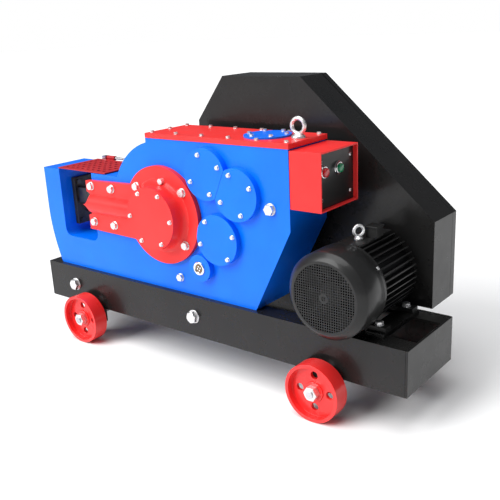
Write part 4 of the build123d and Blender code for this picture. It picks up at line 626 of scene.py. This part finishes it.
def panel_screw_pieces():
    bm = bmesh.new()
    slot_shade_bm = bmesh.new()
    for lo, hi in islands("panel_screws"):
        centre = Vector((hi.x - 3, (lo.y + hi.y) / 2, (lo.z + hi.z) / 2))
        radius = (hi.y - lo.y) / 2
        dome = [(0, 0), (radius, 0), (radius * 0.92, 1.4), (radius * 0.6, 2.5), (0, 2.9)]
        revolve(bm, dome, centre, (1, 0, 0), 28)
        # Painted shade: a thin near-black cross on each dome stands for the shade in the screw's recess.
        for turned in (0.0, 90.0):
            spot = Matrix.Translation((centre + Vector((2.85, 0, 0))) * MM)
            size = Matrix.Diagonal((0.25 * MM, radius * 1.1 * MM, 1.1 * MM, 1))
            matrix = spot @ Matrix.Rotation(math.radians(turned + 20), 4, "X") @ size
            bmesh.ops.create_cube(slot_shade_bm, size=1.0, matrix=matrix)
    piece = from_bmesh("panel_screw_heads", bm, 50)
    finish_piece(piece, "panel_screws")
    cross = from_bmesh("panel_screw_slot_shade", slot_shade_bm)
    finish_piece(cross, "panel_screws", "slot_shade")
    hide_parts("panel_screws")
    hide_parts("panel_screws")


# ---------------------------------------------------------------- casing details
def sight_glass_pieces():
    """Bright screwed ring, domed oil eye and four small bright discs on the eye."""
    lo, hi = box_mm(*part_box("sight_glass"))
    x, z = (lo.x + hi.x) / 2, (lo.z + hi.z) / 2
    radius = (hi.x - lo.x) / 2
    face = lo.y + 4
    bm = bmesh.new()
    ring = [(radius - 6.5, 0), (radius, 0), (radius, 2.6)]
    ring += [(radius - 1.2, 3.8), (radius - 4.6, 3.8), (radius - 6.5, 2.2)]
    revolve(bm, ring, (x, face, z), (0, -1, 0), 64)
    rim = from_bmesh("sight_glass_ring", bm)
    finish_piece(rim, "sight_glass")
    bm = bmesh.new()
    dome = [(0, 0), (radius - 6.4, 0), (radius - 6.4, 1.2), (radius - 9, 2.1), (0, 2.4)]
    revolve(bm, dome, (x, face, z), (0, -1, 0), 48)
    eye = from_bmesh("sight_glass_eye", bm, 60)
    finish_piece(eye, "sight_glass", "oil_eye")
    bm = bmesh.new()
    for number in range(4):
        angle = math.radians(90 * number + 20)
        spot = Vector((x + 5.2 * math.cos(angle), face - 2.0, z + 5.2 * math.sin(angle)))
        revolve(bm, [(0, 0), (2.2, 0), (2.2, 0.6), (1.8, 0.9), (0, 0.9)], spot, (0, -1, 0), 16)
    dots = from_bmesh("sight_glass_plate", bm)
    finish_piece(dots, "sight_glass", "sight_ring")
    for piece in (rim, eye, dots):
        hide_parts("sight_glass")


def boss_fillet_piece():
    """Hollow fillet that leads from the crank cover's flange up to its boss."""
    lo, hi = box_mm(*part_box("crank_cover"))
    flange_r = (hi.z - lo.z) / 2
    x, z = hi.x - flange_r, (lo.z + hi.z) / 2
    boss_r = flange_r - 51
    sweep = 15
    flange_face = hi.y - 15
    profile = fillet((boss_r + 3 + sweep, sweep), sweep, 180, 270, 8)
    profile += [(boss_r - 4, 0), (boss_r - 4, sweep)]
    bm = bmesh.new()
    revolve(bm, profile, (x, flange_face, z), (0, -1, 0), 128)
    piece = from_bmesh("crank_cover_fillet", bm, 50)
    finish_piece(piece, "crank_cover")


# ---------------------------------------------------------------- stage
def make_camera():
    """Three-quarter view from the right front, a little above the machine."""
    camera = bpy.data.cameras.new("camera")
    camera.sensor_width = SENSOR_WIDTH
    camera.lens = CAMERA_LENS
    camera.clip_end = VIEW_END
    holder = bpy.data.objects.new("camera", camera)
    yaw, pitch, roll = (math.radians(a) for a in CAMERA_YAW_PITCH_ROLL)
    ahead = Vector((-math.sin(yaw) * math.cos(pitch), math.cos(yaw) * math.cos(pitch), -math.sin(pitch)))
    right = Vector((math.cos(yaw), math.sin(yaw), 0))
    up = right.cross(ahead)
    tilted = right * math.cos(roll) + up * math.sin(roll)
    upright = tilted.cross(ahead)
    axes = Matrix((tilted, upright, -ahead)).transposed().to_4x4()
    holder.matrix_world = Matrix.Translation(CAMERA_AT) @ axes
    bpy.context.scene.collection.objects.link(holder)
    bpy.context.scene.camera = holder


def sun(name, source, power, spread_deg):
    """Very soft directional light that comes from the given direction."""
    light = bpy.data.lights.new(name, "SUN")
    light.energy = power
    light.angle = math.radians(spread_deg)
    holder = bpy.data.objects.new(name, light)
    holder.rotation_euler = (-Vector(source)).to_track_quat("-Z", "Y").to_euler()
    bpy.context.scene.collection.objects.link(holder)


def make_stage():
    bm = bmesh.new()
    bmesh.ops.create_grid(bm, x_segments=1, y_segments=1, size=FLOOR_HALF)
    floor = from_bmesh("floor", bm)
    shader = Shader("floor_paint")
    tone = shader.remap(shader.noise(2.0), 0.3, 0.7, 0.0, 1.0)
    pale = shader.mix(tone, (0.95, 0.95, 0.95), (0.96, 0.96, 0.96))
    shader.link(pale, shader.surface.inputs["Base Color"])
    shader.set(Roughness=0.6)
    floor.data.materials.append(shader.material)
    world = bpy.data.worlds.new("studio")
    world.use_nodes = True
    tree = world.node_tree
    dim = tree.nodes["Background"]
    dim.inputs["Color"].default_value = (0.9, 0.93, 1.0, 1)
    dim.inputs["Strength"].default_value = WORLD_STRENGTH
    bright = tree.nodes.new("ShaderNodeBackground")
    bright.inputs["Color"].default_value = (1, 1, 1, 1)
    bright.inputs["Strength"].default_value = 1.0
    rays = tree.nodes.new("ShaderNodeLightPath")
    blend = tree.nodes.new("ShaderNodeMixShader")
    tree.links.new(rays.outputs["Is Camera Ray"], blend.inputs[0])
    tree.links.new(dim.outputs[0], blend.inputs[1])
    tree.links.new(bright.outputs[0], blend.inputs[2])
    tree.links.new(blend.outputs[0], tree.nodes["World Output"].inputs["Surface"])
    bpy.context.scene.world = world
    sun("key", *KEY_LIGHT)
    sun("top", *TOP_LIGHT)
    scene = bpy.context.scene
    scene.view_settings.view_transform = "Standard"
    scene.view_settings.look = "None"


make_camera()
make_stage()
dress_cad_nodes()
soften_cad_nodes()
for bolt_node, bolt_axis in (
    ("frame_bolts", (0, -1, 0)), ("crank_cover_bolts", (0, -1, 0)), ("cover_bolts", (0, -1, 0)),
    ("lid_bolts", (0, 0, 1)), ("motor_bolts", (0, 0, 1)),
):
    bolt_pieces(bolt_node, bolt_axis)
wheel_nut_pieces()
lifting_eye_pieces()
cowl_pieces()
button_pieces()
panel_screw_pieces()
sight_glass_pieces()
boss_fillet_piece()
